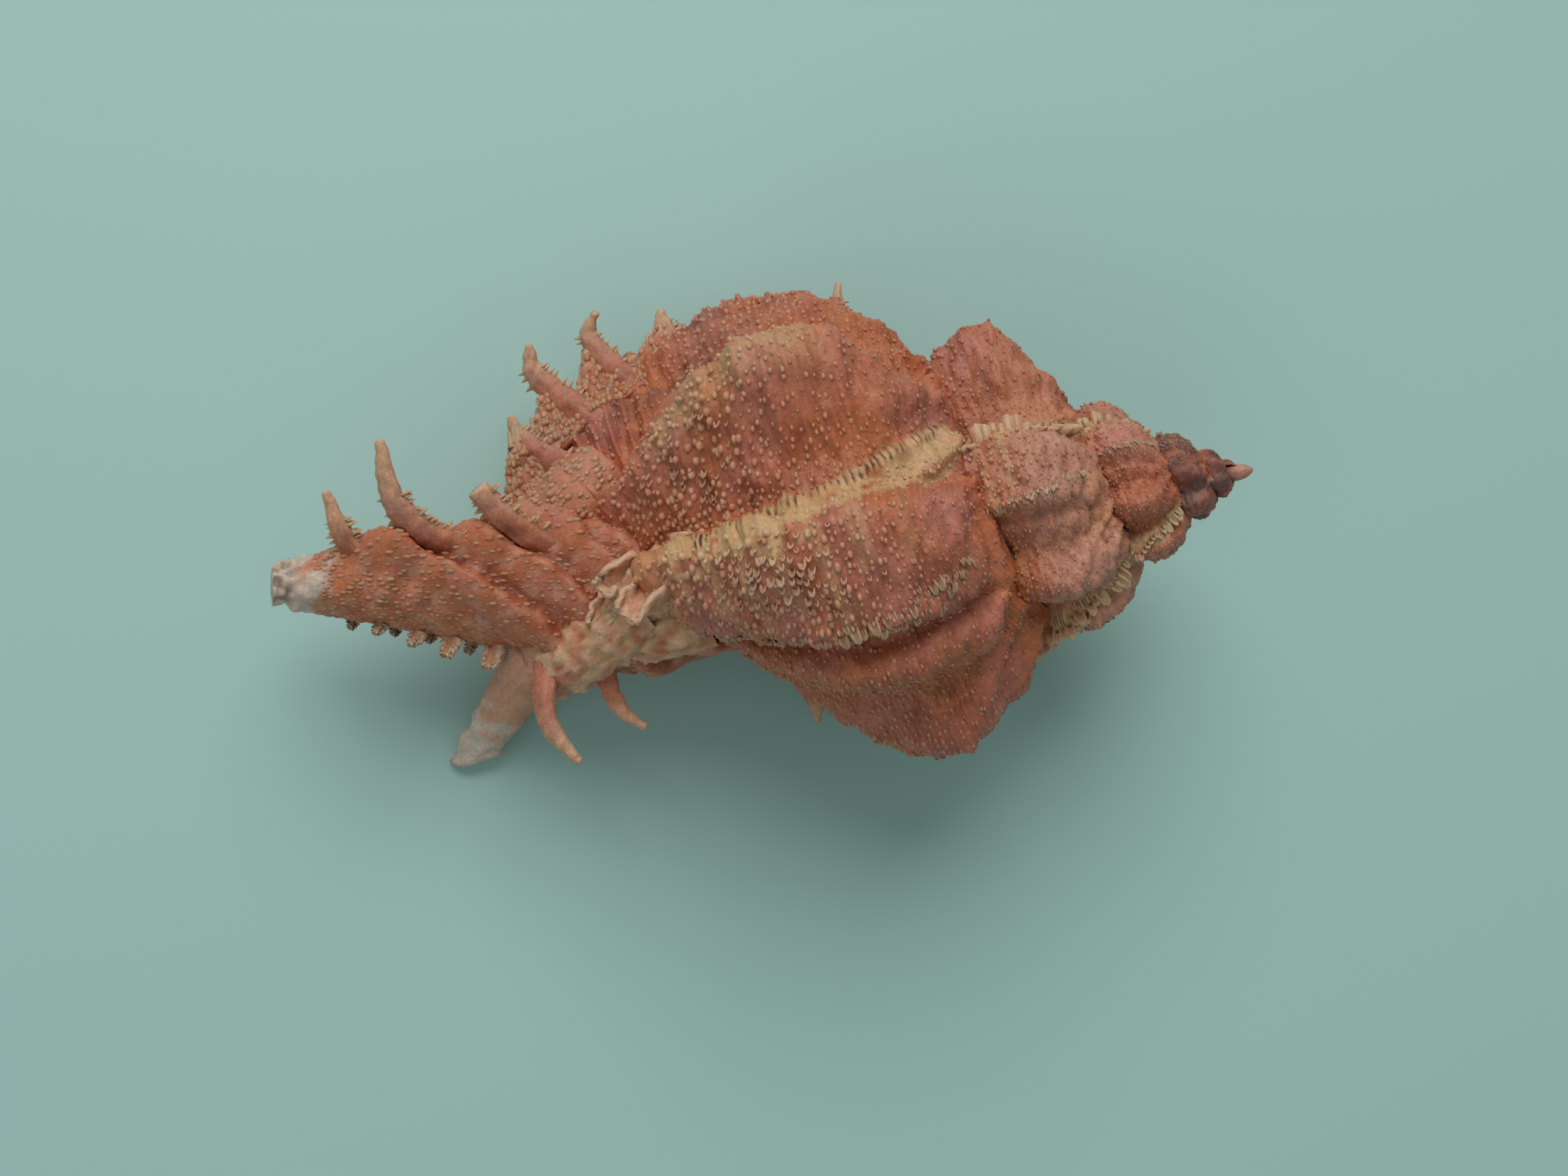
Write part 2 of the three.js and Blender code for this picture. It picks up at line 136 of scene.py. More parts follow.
# Rows are places on a spine (along, bearing in degrees, radius) and two half widths.
CANAL_SPINES = {
    "outer": [
        [52.2, 24, 10.0, 1.18, 0.68], [53.3, 27, 12.0, 0.82, 0.54],
        [53.5, 31, 13.6, 0.57, 0.41], [53.7, 36, 15.0, 0.25, 0.23],
    ],
    "middle": [
        [47.6, 27, 9.2, 1.43, 0.87], [49.2, 30, 11.6, 1.02, 0.68],
        [50.0, 35, 13.9, 0.74, 0.49], [49.8, 42.5, 16.5, 0.3, 0.25],
    ],
    "stump": [
        [42.8, 28, 8.0, 1.18, 0.93], [44.2, 32, 10.2, 0.95, 0.75],
        [45.0, 36, 11.9, 0.74, 0.66], [45.2, 37, 12.3, 0.69, 0.57],
    ],
}
VARIX_SPINES = [
    [
        [41.6, 82, 8.0, 1.05, 0.74], [43.6, 82, 9.9, 0.75, 0.54],
        [44.5, 83, 11.2, 0.49, 0.33], [44.7, 83, 12.2, 0.23, 0.18],
    ],
    [
        [39.2, 92, 10.0, 1.36, 0.87], [41.9, 90, 13.0, 0.95, 0.68],
        [43.0, 89, 14.9, 0.66, 0.49], [42.8, 87, 16.4, 0.25, 0.23],
    ],
    [
        [37.2, 97, 12.0, 1.24, 0.87], [38.8, 96, 15.0, 0.82, 0.61],
        [39.4, 95, 16.6, 0.57, 0.41], [38.6, 93, 17.8, 0.23, 0.21],
    ],
    [[34.1, 105, 13.2, 1.12, 0.87], [34.9, 104, 16.6, 0.68, 0.54], [35.1, 103, 18.0, 0.2, 0.16]],
    [[24.6, 112, 13.2, 0.99, 0.74], [23.9, 112, 16.6, 0.54, 0.41], [23.5, 111, 18.4, 0.16, 0.15]],
]
OLD_SPINES = [
    [
        [43.6, -20, 5.0, 1.05, 0.81], [44.5, -41, 8.4, 0.75, 0.61],
        [44.3, -50, 10.2, 0.57, 0.49], [43.0, -57, 11.9, 0.25, 0.23],
    ],
    [
        [40.6, -24, 5.2, 0.99, 0.74], [40.7, -45, 7.6, 0.68, 0.54],
        [40.2, -55, 8.9, 0.49, 0.41], [39.0, -61, 9.9, 0.23, 0.21],
    ],
    [[28.4, -116, 7.0, 1.12, 0.93], [29.6, -118, 10.0, 0.75, 0.61], [30.2, -120, 12.6, 0.18, 0.16]],
]

# ---- Fine sculpture, in mm on a whorl as large as the last one ----
CORD_GAP = 0.5
CORD_HEIGHT = 0.05
RIB_GAP = 1.5  # every third cord is a stronger rib
RIB_HEIGHT = 0.13
SCALE_GAP = 0.62  # from one scale on a cord to the next
SCALE_WIDTH = 0.36
STEP_HEIGHT = 0.32  # at the last growth line of a varix
FOLD_GAP = 19  # degrees between the folds on the shoulder
FOLD_HEIGHT = 0.75
LAMELLA_GAP = 2.2  # degrees between the fine growth lines on the shoulder
LAMELLA_HEIGHT = 0.10
LUMPS = ((0.10, 1.2), (0.22, 3.2))  # height and wavelength of uneven growth
LUMP_SEED = 11

MASKS = ("cream", "deep", "purple", "orange", "pale", "brown", "bone")


# ---- Curves and frames ----
def blend_rows(rows, place):
    """Smooth values between the rows of a list, at places from 0 to 1."""
    rows = np.asarray(rows, float)
    slopes = np.gradient(rows, axis=0)
    last = len(rows) - 1
    at = share_of(np.asarray(place, float)) * last
    first = np.minimum(at.astype(int), last - 1)
    t = (at - first)[..., None]
    rise = 3 * t**2 - 2 * t**3
    start = t**3 - 2 * t**2 + t
    end = t**3 - t**2
    blended = rows[first] + (rows[first + 1] - rows[first]) * rise
    return blended + slopes[first] * start + slopes[first + 1] * end


def polar(along, bearing, radius):
    turn = np.radians(bearing)
    parts = np.broadcast_arrays(along, radius * np.cos(turn), radius * np.sin(turn))
    return np.stack(parts, -1).astype(float)


def unit(vectors):
    return vectors / np.maximum(np.linalg.norm(vectors, axis=-1, keepdims=True), 1e-12)


def level(vectors, normal):
    """Unit directions of the vectors once what points along the normal is taken out."""
    return unit(vectors - normal * np.sum(vectors * normal, -1, keepdims=True))


def share_of(value):
    """A value held between 0 and 1."""
    return np.clip(value, 0, 1)


def smoothstep(low, high, value):
    t = share_of((value - low) / (high - low))
    return t * t * (3 - 2 * t)


def band(value, low, high, soft):
    """1 between low and high, falling to 0 over soft on both sides."""
    return smoothstep(low - soft, low, value) * (1 - smoothstep(high, high + soft, value))


def bell(value, middle, width):
    return np.exp(-(((value - middle) / width) ** 2))


def ridge(phase, sharp=1.5):
    """1 at whole numbers of phase and 0 halfway between them."""
    return (0.5 + 0.5 * np.cos(2 * np.pi * phase)) ** sharp


def ripple(points, wavelength, seed):
    """Smooth noise, mostly between -1 and 1, that varies over about a wavelength."""
    rng = np.random.default_rng(seed)
    waves = 14
    directions = unit(rng.normal(size=(waves, 3)))
    speeds = 2 * np.pi / wavelength * rng.uniform(0.6, 1.5, waves)
    starts = rng.uniform(0, 2 * np.pi, waves)
    total = np.zeros(points.shape[:-1])
    for direction, speed, start in zip(directions, speeds, starts):
        total += np.sin(points @ direction * speed + start)
    return total * math.sqrt(2 / waves) * 0.7


# ---- The wall of the whorls ----
def growth(angle):
    return WHORL_GROWTH ** (angle / 360)


def fall_away(distance, spread):
    return np.exp(-((distance / np.where(distance < 0, spread[0], spread[1])) ** 2))


def varix_shape(distance, top=VARIX_TOP):
    """A varix has a broad top that ends in a ledge on its older side."""
    behind = (1 - 0.3 * (distance / 24) ** 2) * (1 - smoothstep(*top, -distance))
    ahead = np.exp(-(np.abs(distance / VARIX_AHEAD) ** 3))
    return np.where(distance < 0, share_of(behind), ahead)


def relief_at(angle, place):
    """How much of a varix, a big node and a small node there is at places on the wall."""
    varix = np.zeros_like(angle)
    big = np.zeros_like(angle)
    small = np.zeros_like(angle)
    for index, newer in enumerate(VARIX_ANGLES):
        if index == 0:
            crest = np.clip(angle, LAST_VARIX_TURN * smoothstep(0.6, 0.95, place), 0)
            strength = 0.65 + 0.35 * smoothstep(0.5, 0.7, place)
            varix = strength * varix_shape(angle - crest, LAST_VARIX_TOP)
        else:
            varix = np.maximum(varix, varix_shape(angle - newer))
        if index + 1 == len(VARIX_ANGLES):
            continue
        older = VARIX_ANGLES[index + 1]
        (big_share, big_size), (small_share, small_size) = OWN_NODES.get(index, USUAL_NODES)
        spread = NEWEST_NODE_SPREAD if index == 0 else BIG_NODE_SPREAD
        gap = newer - older
        big = big + big_size * fall_away(angle - older - big_share * gap, spread)
        small = small + small_size * fall_away(angle - older - small_share * gap, SMALL_NODE_SPREAD)
    return varix, big, small


VALLEY_DEPTH = 1.3
WING_VALLEY_DEPTH = 1.9  # where the wall sweeps out to the wing of the last varix
NODE_VALLEY_DEPTH = 2.2  # between the newest big node and the last varix
NODE_VALLEY_ANGLE = -51
GROOVE_DEPTH = 1.3  # behind the ledge of each varix
GROOVE_BEHIND = 29


def valley_at(angle, place, relief):
    """How far the wall sinks between its varices and nodes."""
    depth = VALLEY_DEPTH * (1 - share_of(relief)) * band(place, 0.2, 0.8, 0.15)
    depth = depth + NODE_VALLEY_DEPTH * bell(angle, NODE_VALLEY_ANGLE, 9) * band(place, 0.15, 0.62, 0.1)
    for varix in VARIX_ANGLES[1:]:
        depth = depth + GROOVE_DEPTH * bell(angle, varix - GROOVE_BEHIND, 4.5) * band(place, 0.2, 0.85, 0.1)
    return depth + WING_VALLEY_DEPTH * band(angle, -46, -22, 14) * band(place, 0.6, 0.86, 0.14)


def wing_flank(angle, place):
    """1 on the stretch of wall that becomes the wing of the last varix."""
    return band(angle, -52, 10, 12) * smoothstep(0.5, 0.68, place)


def wall(angle, place):
    angle, place = np.broadcast_arrays(np.asarray(angle, float), np.asarray(place, float))
    along, radius, crest, big_rise, small_rise = np.moveaxis(blend_rows(WALL, place), -1, 0)
    varix, big, small = relief_at(angle, place)
    height = radius + crest * varix + big_rise * big + small_rise * small
    height = height - valley_at(angle, place, varix + big + small)
    return polar(along * growth(angle), LIP_BEARING + angle, height * growth(angle))


def wall_frame(angle, place):
    """Directions on the wall: outward, toward newer shell, and from suture to neck."""
    step_angle = 0.4
    step_place = 0.002
    onward = wall(angle + step_angle, place) - wall(angle - step_angle, place)
    across = wall(angle, place + step_place) - wall(angle, place - step_place)
    outward = unit(np.cross(across, onward))
    radial = wall(angle, place) * np.array([0, 1, 1])
    outward *= np.sign(np.sum(outward * radial, -1, keepdims=True))
    onward = unit(onward)
    return outward, onward, unit(np.cross(onward, outward))


def distances_along_wall(places):
    """How far each place is from the suture, on a line over the wall and a third of a varix."""
    table = blend_rows(WALL, places)
    steps = np.diff(table[:, :2] + 0.35 * table[:, 2:3] * [0, 1], axis=0)
    return np.concatenate([[0], np.cumsum(np.hypot(steps[:, 0], steps[:, 1]))])


PLACES = np.linspace(0, 1, 401)
ARC = distances_along_wall(PLACES)


def arc_at(place):
    """Distance from the suture along the wall, in mm on the last whorl."""
    return np.interp(place, PLACES, ARC)


def place_at(arc):
    return np.interp(arc, ARC, PLACES)


def lead(place):
    """Degrees by which the growth lines run ahead near the suture."""
    return 22 * np.clip((0.56 - place) / 0.407, 0, 1.2) ** 1.7


LINE_AHEAD = 7.5  # degrees from the crest of a varix to its last growth line


def since_line(angle, place):
    """Degrees from the nearest last growth line of a varix: above 0 on its older side."""
    lines = np.array(VARIX_ANGLES[1:]) + LINE_AHEAD
    distance = lines[:, None] - (angle - lead(place)).ravel()[None, :]
    distance = np.where(distance < -4, 1e3, distance)
    return distance.min(0).reshape(angle.shape)


def lamellae(angle, place):
    return ridge((angle - lead(place)) / LAMELLA_GAP, 2)


def sculpture(angle, place):
    """Height of cords, ribs, folds and steps, for a whorl as large as the last one."""
    varix, big, _ = relief_at(angle, place)
    arc = arc_at(place)
    flank = smoothstep(0.1, 0.3, place)
    shoulder = 1 - smoothstep(0.2, 0.32, place)
    strength = flank * (0.7 + 0.5 * varix + 0.2 * big)
    height = CORD_HEIGHT * ridge(arc / CORD_GAP) * (0.4 + 0.6 * flank)
    height = height + RIB_HEIGHT * ridge(arc / RIB_GAP, 1.2) * (strength + 1.6 * wing_flank(angle, place))
    after = since_line(angle, place)
    step = np.where(after >= 0, np.exp(-after / 9), 0) * smoothstep(0.06, 0.16, place)
    height = height + STEP_HEIGHT * step
    folds = ridge((angle - 1.2 * lead(place)) / FOLD_GAP + 0.15, 2.5) * (1 - varix)
    height = height + FOLD_HEIGHT * folds * shoulder * smoothstep(0.0, 0.06, place)
    return height + LAMELLA_HEIGHT * lamellae(angle, place) * shoulder


def undulation(base, angle):
    """Uneven growth: lumps of two sizes, smaller on the smaller whorls."""
    scaled = base / growth(angle)[..., None]
    rough = 1 + 0.5 * (1 - smoothstep(-420, -340, angle))
    return rough * sum(height * ripple(scaled, wave, LUMP_SEED + i) for i, (height, wave) in enumerate(LUMPS))


def skin(angle, place):
    """Points on the finished surface of the wall, its outward directions and its onward ones."""
    base = wall(angle, place)
    outward, onward, _ = wall_frame(angle, place)
    height = (sculpture(angle, place) + undulation(base, angle)) * growth(angle)
    return base + outward * height[..., None], outward, onward


def wall_masks(angle, place, points):
    """What colours the wall: all of it is worked out from the growth angle and the place."""
    varix, big, small = relief_at(angle, place)
    arc = arc_at(place)
    after = since_line(angle, place)
    wander = ripple(points, 7, 3)
    fine = ripple(points, 1.6, 4)
    ribs = ridge(arc / (2 * RIB_GAP) + 0.1 * wander, 1)
    band_width = 7 + 2.5 * fine
    shoulder = smoothstep(0.4, 0.12, place)
    cream = band(after, 0, band_width + 7 * shoulder, 1.2) * band(place, 0.08, 0.72, 0.06)
    streaks = smoothstep(0.45, 0.9, ribs) * band(after, 0, 24 + 6 * wander, 8) * band(place, 0.3, 0.9, 0.1)
    cream = share_of(0.9 * cream + 0.35 * streaks)
    lower = smoothstep(0.6, 0.85, place) * varix
    cream = np.maximum(cream, 0.55 * lower * smoothstep(-0.2, 0.9, wander + 0.3))
    # Cream along the crest of the newest big node: partly its own cream, partly a painted highlight where the
    # crest faces the light.
    cream = np.maximum(cream, 0.6 * bell(angle, -69, 5) * band(place, 0.36, 0.62, 0.08))
    gap = 1 - ridge(arc / CORD_GAP, 1)
    dashes = smoothstep(0.62, 0.85, gap) * band(place, 0.12, 0.64, 0.03)
    dashes = dashes * band(after, -0.5, 1.9 + 1.5 * fine, 0.5)
    brown = dashes * smoothstep(-0.9, 0.2, ripple(points, 1.6, 5))
    valley = 1 - share_of(varix + 0.8 * big + 0.6 * small)
    faded = band(angle, -760, -440, 60) * (1 - smoothstep(0.2, 0.6, place))
    orange = share_of(0.35 + 0.5 * valley + 0.35 * wander + 0.25 * smoothstep(0.5, 0.9, place))
    # Painted shade: darker in the valleys between varices and nodes and in the grooves between cords, over
    # random dark patches.
    valley_shade = 0.35 * valley * smoothstep(0.2, 0.4, place)
    deep = share_of(0.25 * gap + valley_shade + 0.25 * ripple(points, 4, 6))
    # Painted shade in the valley between the newest big node and the last varix, and under the ledge of the
    # varix before the last.
    deep = np.maximum(deep, 0.75 * bell(angle, -46, 11) * band(place, 0.3, 0.62, 0.1))
    deep = np.maximum(deep, 0.6 * bell(angle, -140, 7) * band(place, 0.2, 0.8, 0.1))
    deep = np.maximum(deep, 0.45 * band(angle, -98, -76, 8) * band(place, 0.42, 0.9, 0.12))
    deep = np.maximum(deep, 0.3 * band(angle, -200, -146, 8) * band(place, 0.2, 0.9, 0.1))
    stripes = ripple(points, 3.4, 8) + 0.5 * ridge(arc / (3 * RIB_GAP), 1)
    purple = smoothstep(-45, -12, angle) * smoothstep(0.1, 0.7, stripes) * smoothstep(0.35, 0.6, place)
    purple = 0.7 * purple * (1 - cream)
    purple = np.maximum(purple, smoothstep(-880, -1120, angle) * share_of(0.8 + 0.4 * fine))
    return {
        "cream": cream, "brown": brown, "pale": 0.35 * faded,
        "orange": orange, "deep": deep, "purple": purple,
    }


# ---- Patches of surface, which are joined into pieces ----
class Patch:
    """Points in the shell's frame, faces as rows of four point numbers, and masks, one value a point."""

    def __init__(self, points, faces, masks=None):
        self.points = points.reshape(-1, 3)
        self.faces = faces
        count = len(self.points)
        self.masks = {name: np.zeros(count) for name in MASKS}
        for name, values in (masks or {}).items():
            self.masks[name] = np.broadcast_to(values, points.shape[:-1]).reshape(-1).astype(float)


def flat_masks(count, **values):
    """Masks for count scales that are all alike."""
    return {name: np.full(count, float(value)) for name, value in {"deep": 0, **values}.items()}


def grain_masks(rng, count, pale, cream):
    """Masks for count grains whose pale and cream vary between two limits."""
    varied = {"pale": rng.uniform(*pale, count), "cream": rng.uniform(*cream, count)}
    return {**flat_masks(count, orange=0.7), **varied}


def join(patches):
    points = np.concatenate([patch.points for patch in patches])
    offsets = np.cumsum([0] + [len(patch.points) for patch in patches[:-1]])
    faces = np.concatenate([patch.faces + offset for patch, offset in zip(patches, offsets)])
    masks = {name: np.concatenate([patch.masks[name] for patch in patches]) for name in MASKS}
    return Patch(points, faces, masks)


def grid_faces(rows, columns, wrap=False):
    """Quads of a grid of points. With wrap the last column joins the first."""
    row = np.arange(rows - 1)[:, None]
    column = np.arange(columns if wrap else columns - 1)[None, :]
    onward = (column + 1) % columns
    here = row * columns
    below = here + columns
    corners = np.broadcast_arrays(here + column, here + onward, below + onward, below + column)
    return np.stack(corners, -1).reshape(-1, 4)


def grid_normals(points, wrap=False):
    """Unit normals of a grid of points, rows by columns."""
    down = np.gradient(points, axis=0)
    if wrap:
        right = np.roll(points, -1, 1) - np.roll(points, 1, 1)
    else:
        right = np.gradient(points, axis=1)
    return unit(np.cross(right, down))


def to_part(points):
    turn = Matrix.Rotation(HEADING, 3, "Z") @ Matrix.Rotation(REST_PITCH, 3, "Y")
    turn = turn @ Matrix.Rotation(REST_ROLL, 3, "X")
    return (points @ np.array(turn).T + APEX_AT) * MM


def add_piece(name, patch, material):
    """Makes a mesh object of a patch, in the part's frame, standing for the CAD shell."""
    mesh = bpy.data.meshes.new(name)
    points = to_part(patch.points)
    faces = patch.faces
    mesh.vertices.add(len(points))
    mesh.vertices.foreach_set("co", points.ravel())
    mesh.loops.add(faces.size)
    mesh.loops.foreach_set("vertex_index", faces.ravel().astype(np.int32))
    mesh.polygons.add(len(faces))
    mesh.polygons.foreach_set("loop_start", np.arange(0, faces.size, 4, dtype=np.int32))
    mesh.update(calc_edges=True)
    for mask in MASKS:
        layer = mesh.attributes.new(mask, "FLOAT", "POINT")
        layer.data.foreach_set("value", patch.masks[mask].astype(np.float32))
    mesh.shade_smooth()
    mesh.materials.append(material)
    piece = bpy.data.objects.new(name, mesh)
    bpy.context.scene.collection.objects.link(piece)
    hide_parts("shell")
    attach(piece, "root")


# ---- Materials ----
ROSE = (0.58, 0.205, 0.145)
ORANGE = (0.60, 0.185, 0.070)
# Deep red: the shell's own dark tone, and also painted shade in grooves, valleys and hollows.
DEEP_RED_AND_SHADE = (0.28, 0.050, 0.022)
CREAM = (0.70, 0.440, 0.220)
# Pale: the shell's own pale tone, and also painted highlight on scale rims, grain tops and lumps.
PALE_AND_HIGHLIGHT = (0.72, 0.470, 0.320)
PURPLE = (0.16, 0.070, 0.065)
BROWN = (0.105, 0.042, 0.020)
BONE = (0.66, 0.540, 0.450)
DARK_SPECKLE = (0.86, 0.82, 0.8)  # both speckles multiply the colour
LIGHT_SPECKLE = (1.08, 1.08, 1.08)
BROAD_NOISE = 220  # per metre, as are the next two
MIDDLE_NOISE = 900
TINY_NOISE = 3800
SUBSURFACE_DEPTH = 0.0008  # in metres, as is the next
BUMP_HEIGHT = 0.00018


class Nodes:
    """Short names for making and linking a material's nodes."""

    def __init__(self, name):
        self.material = bpy.data.materials.new(name)
        self.material.use_nodes = True
        self.tree = self.material.node_tree
        self.shader = self.tree.nodes["Principled BSDF"]

    def add(self, kind, **settings):
        node = self.tree.nodes.new(kind)
        for name, value in settings.items():
            setattr(node, name, value)
        return node

    def link(self, source, target):
        self.tree.links.new(source, target)

    def feed(self, socket, value):
        if isinstance(value, bpy.types.NodeSocket):
            self.link(value, socket)
        else:
            socket.default_value = value

    def mask(self, name):
        return self.add("ShaderNodeAttribute", attribute_name=name).outputs["Fac"]

    def maths(self, operation, *values, clamp=False):
        node = self.add("ShaderNodeMath", operation=operation, use_clamp=clamp)
        for socket, value in zip(node.inputs, values):
            self.feed(socket, value)
        return node.outputs[0]

    def mix(self, amount, first, second, blend="MIX"):
        node = self.add("ShaderNodeMix", data_type="RGBA", blend_type=blend)
        self.feed(node.inputs["Factor"], amount)
        for socket, value in ((node.inputs[6], first), (node.inputs[7], second)):
            self.feed(socket, (*value, 1) if isinstance(value, tuple) else value)
        return node.outputs[2]

    def ramp(self, value, low, high):
        node = self.add("ShaderNodeMapRange", interpolation_type="SMOOTHSTEP")
        self.feed(node.inputs["Value"], value)
        node.inputs["From Min"].default_value = low
        node.inputs["From Max"].default_value = high
        return node.outputs["Result"]

    def noise(self, scale, detail=3.0, vector=None, roughness=0.5):
        node = self.add("ShaderNodeTexNoise")
        node.inputs["Scale"].default_value = scale
        node.inputs["Detail"].default_value = detail
        node.inputs["Roughness"].default_value = roughness
        if vector is not None:
            self.link(vector, node.inputs["Vector"])
        return node.outputs["Fac"]


def shell_material(name, grain=1.0, roughness=0.42):
    """The shell's surface: colours from the masks, varied by noise, with fine grain as bump."""
    nodes = Nodes(name)
    where = nodes.add("ShaderNodeTexCoord").outputs["Object"]
    broad = nodes.noise(BROAD_NOISE, 3, where)
    middle = nodes.noise(MIDDLE_NOISE, 3, where)
    tiny = nodes.noise(TINY_NOISE, 4, where, 0.65)
    hue = nodes.maths("ADD", nodes.mask("orange"), nodes.maths("MULTIPLY_ADD", broad, 0.9, -0.45), clamp=True)
    colour = nodes.mix(hue, ROSE, ORANGE)
    # This deep red mix is both the shell's dark tone and painted shade, where the masks darken grooves,
    # valleys and hollows.
    depth = nodes.maths("MULTIPLY", nodes.mask("deep"), nodes.ramp(middle, 0.25, 0.6))
    colour = nodes.mix(depth, colour, DEEP_RED_AND_SHADE)
    creamy = nodes.maths("MULTIPLY", nodes.mask("cream"), nodes.ramp(middle, 0.15, 0.5))
    colour = nodes.mix(creamy, colour, CREAM)
    stained = nodes.maths("MULTIPLY", nodes.mask("purple"), nodes.ramp(middle, 0.2, 0.55))
    colour = nodes.mix(stained, colour, PURPLE)
    # This pale mix is both the shell's pale tone and painted highlight on scale rims, grain tops and lumps.
    colour = nodes.mix(nodes.mask("pale"), colour, PALE_AND_HIGHLIGHT)
    colour = nodes.mix(nodes.mask("bone"), colour, BONE)
    colour = nodes.mix(nodes.mask("brown"), colour, BROWN)
    speckle = nodes.mix(nodes.ramp(tiny, 0.35, 0.7), DARK_SPECKLE, LIGHT_SPECKLE)
    colour = nodes.mix(1.0, colour, speckle, "MULTIPLY")
    nodes.link(colour, nodes.shader.inputs["Base Color"])
    gloss = nodes.maths("MULTIPLY_ADD", middle, 0.25, roughness - 0.12)
    nodes.link(gloss, nodes.shader.inputs["Roughness"])
    nodes.shader.inputs["Specular IOR Level"].default_value = 0.5
    nodes.shader.inputs["Subsurface Weight"].default_value = 0.35
    nodes.shader.inputs["Subsurface Radius"].default_value = (1.0, 0.35, 0.2)
    nodes.shader.inputs["Subsurface Scale"].default_value = SUBSURFACE_DEPTH
    bumps = nodes.maths("MULTIPLY_ADD", middle, 0.6, tiny)
    bump = nodes.add("ShaderNodeBump")
    bump.inputs["Strength"].default_value = 0.5
    bump.inputs["Distance"].default_value = BUMP_HEIGHT * grain
    nodes.link(bumps, bump.inputs["Height"])
    nodes.link(bump.outputs["Normal"], nodes.shader.inputs["Normal"])
    return nodes.material


# ---- The whorls ----
def whorl_patch(from_angle, to_angle, last_place, rows, columns):
    angle = np.linspace(from_angle, to_angle, rows)[:, None]
    place = place_at(np.linspace(0, arc_at(last_place), columns))[None, :]
    angle, place = np.broadcast_arrays(angle, place)
    points, _, _ = skin(angle, place)
    return Patch(points, grid_faces(rows, columns), wall_masks(angle, place, points))


SPIRE_WHORLS = (  # from and to growth angles, last place on the wall, rows and columns of points
    (-704, BODY_WHORL_START, 0.68, 230, 130),
    (-1064, -704, 0.72, 130, 70),
    (-1420, -1064, 0.8, 100, 50),
    (OLDEST_ANGLE, -1420, 0.9, 90, 36),
)


def build_whorls(material):
    body = whorl_patch(BODY_WHORL_START, LIP_REACH, 1, 310, 300)
    add_piece("body_whorl", body, material)
    add_piece("spire", join([whorl_patch(*whorl) for whorl in SPIRE_WHORLS]), material)


# ---- Tubes: canal and spines ----
def tube_frames(centres):
    """Directions along a centre line, and the two across it: up-like and front-like, or along-like."""
    ahead = unit(np.gradient(centres, axis=0))
    lengthwise = np.abs(ahead[:, :1]) > 0.8
    guide = np.where(lengthwise, [[0.0, 0, 1]], [[1.0, 0, 0]])
    across = level(guide, ahead)
    return ahead, across, np.cross(ahead, across)


class Tube:
    """Rings of points round a centre line, as grids of steps by sides."""

    def __init__(self, rows, steps, sides):
        table = blend_rows(rows, np.linspace(0, 1, steps))
        self.centres = table[:, :3]
        self.ahead, across, through = tube_frames(self.centres)
        turn = np.linspace(0, 2 * np.pi, sides, endpoint=False)[None, :, None]
        wide, thick = table[:, 3][:, None, None], table[:, 4][:, None, None]
        self.spokes = across[:, None] * wide * np.cos(turn) + through[:, None] * thick * np.sin(turn)
        self.turn = turn[..., 0]
        self.share = np.linspace(0, 1, steps)[:, None]
        self.outward = unit(self.spokes)
        self.base = self.centres[:, None] + self.spokes

    def raised(self, height):
        return self.base + self.outward * height[..., None]

    def flutes(self, count, wander=0):
        """Ridges that run along the tube."""
        return ridge(self.turn / (2 * np.pi) * count + wander)


def tube_at(rows, share):
    """Centres, directions (ahead, across, through) and half widths at places along a tube."""
    dense = np.linspace(0, 1, 300)
    table = blend_rows(rows, dense)
    columns = np.concatenate([table, *tube_frames(table[:, :3])], 1)
    found = np.stack([np.interp(share, dense, column) for column in columns.T], -1)
    centre, wide, thick = found[..., :3], found[..., 3:4], found[..., 4:5]
    return centre, unit(found[..., 5:8]), unit(found[..., 8:11]), unit(found[..., 11:14]), wide, thick


def cap(patch, first_point, sides, flip=False):
    """Closes the ring of points that starts at first_point with a fan of quads round its middle."""
    ring = np.arange(first_point, first_point + sides)
    middle = patch.points[ring].mean(0)
    hub = len(patch.points)
    patch.points = np.concatenate([patch.points, middle[None]])
    for name in MASKS:
        values = patch.masks[name]
        patch.masks[name] = np.append(values, values[ring].mean())
    pairs = ring.reshape(-1, 2)
    after = np.roll(pairs[:, 0], -1)
    fan = np.stack([np.full(len(pairs), hub), pairs[:, 0], pairs[:, 1], after], -1)
    patch.faces = np.concatenate([patch.faces, fan[:, ::-1] if flip else fan])
    return patch


def closed_tube(points, masks):
    """The surface through rings of points, closed at its far end."""
    steps, sides = points.shape[:2]
    patch = Patch(points, grid_faces(steps, sides, wrap=True), masks)
    return cap(patch, (steps - 1) * sides, sides)


def canal_bearing(spokes):
    return np.degrees(np.arctan2(spokes[..., 2], spokes[..., 1]))


RIB_STARTS = (52.6, 48.0, 43.4)  # where the canal spines stand, along the canal
RIB_SETBACK = 1.2  # from a spine to its rib
RIB_SLANT = 0.10  # mm along the canal for each degree of bearing
SPINE_BEARING = 27


def past_rib(along, bearing, start):
    """Distance along the canal from a slanting rib."""
    return along - (start - RIB_SETBACK - RIB_SLANT * (SPINE_BEARING - bearing))


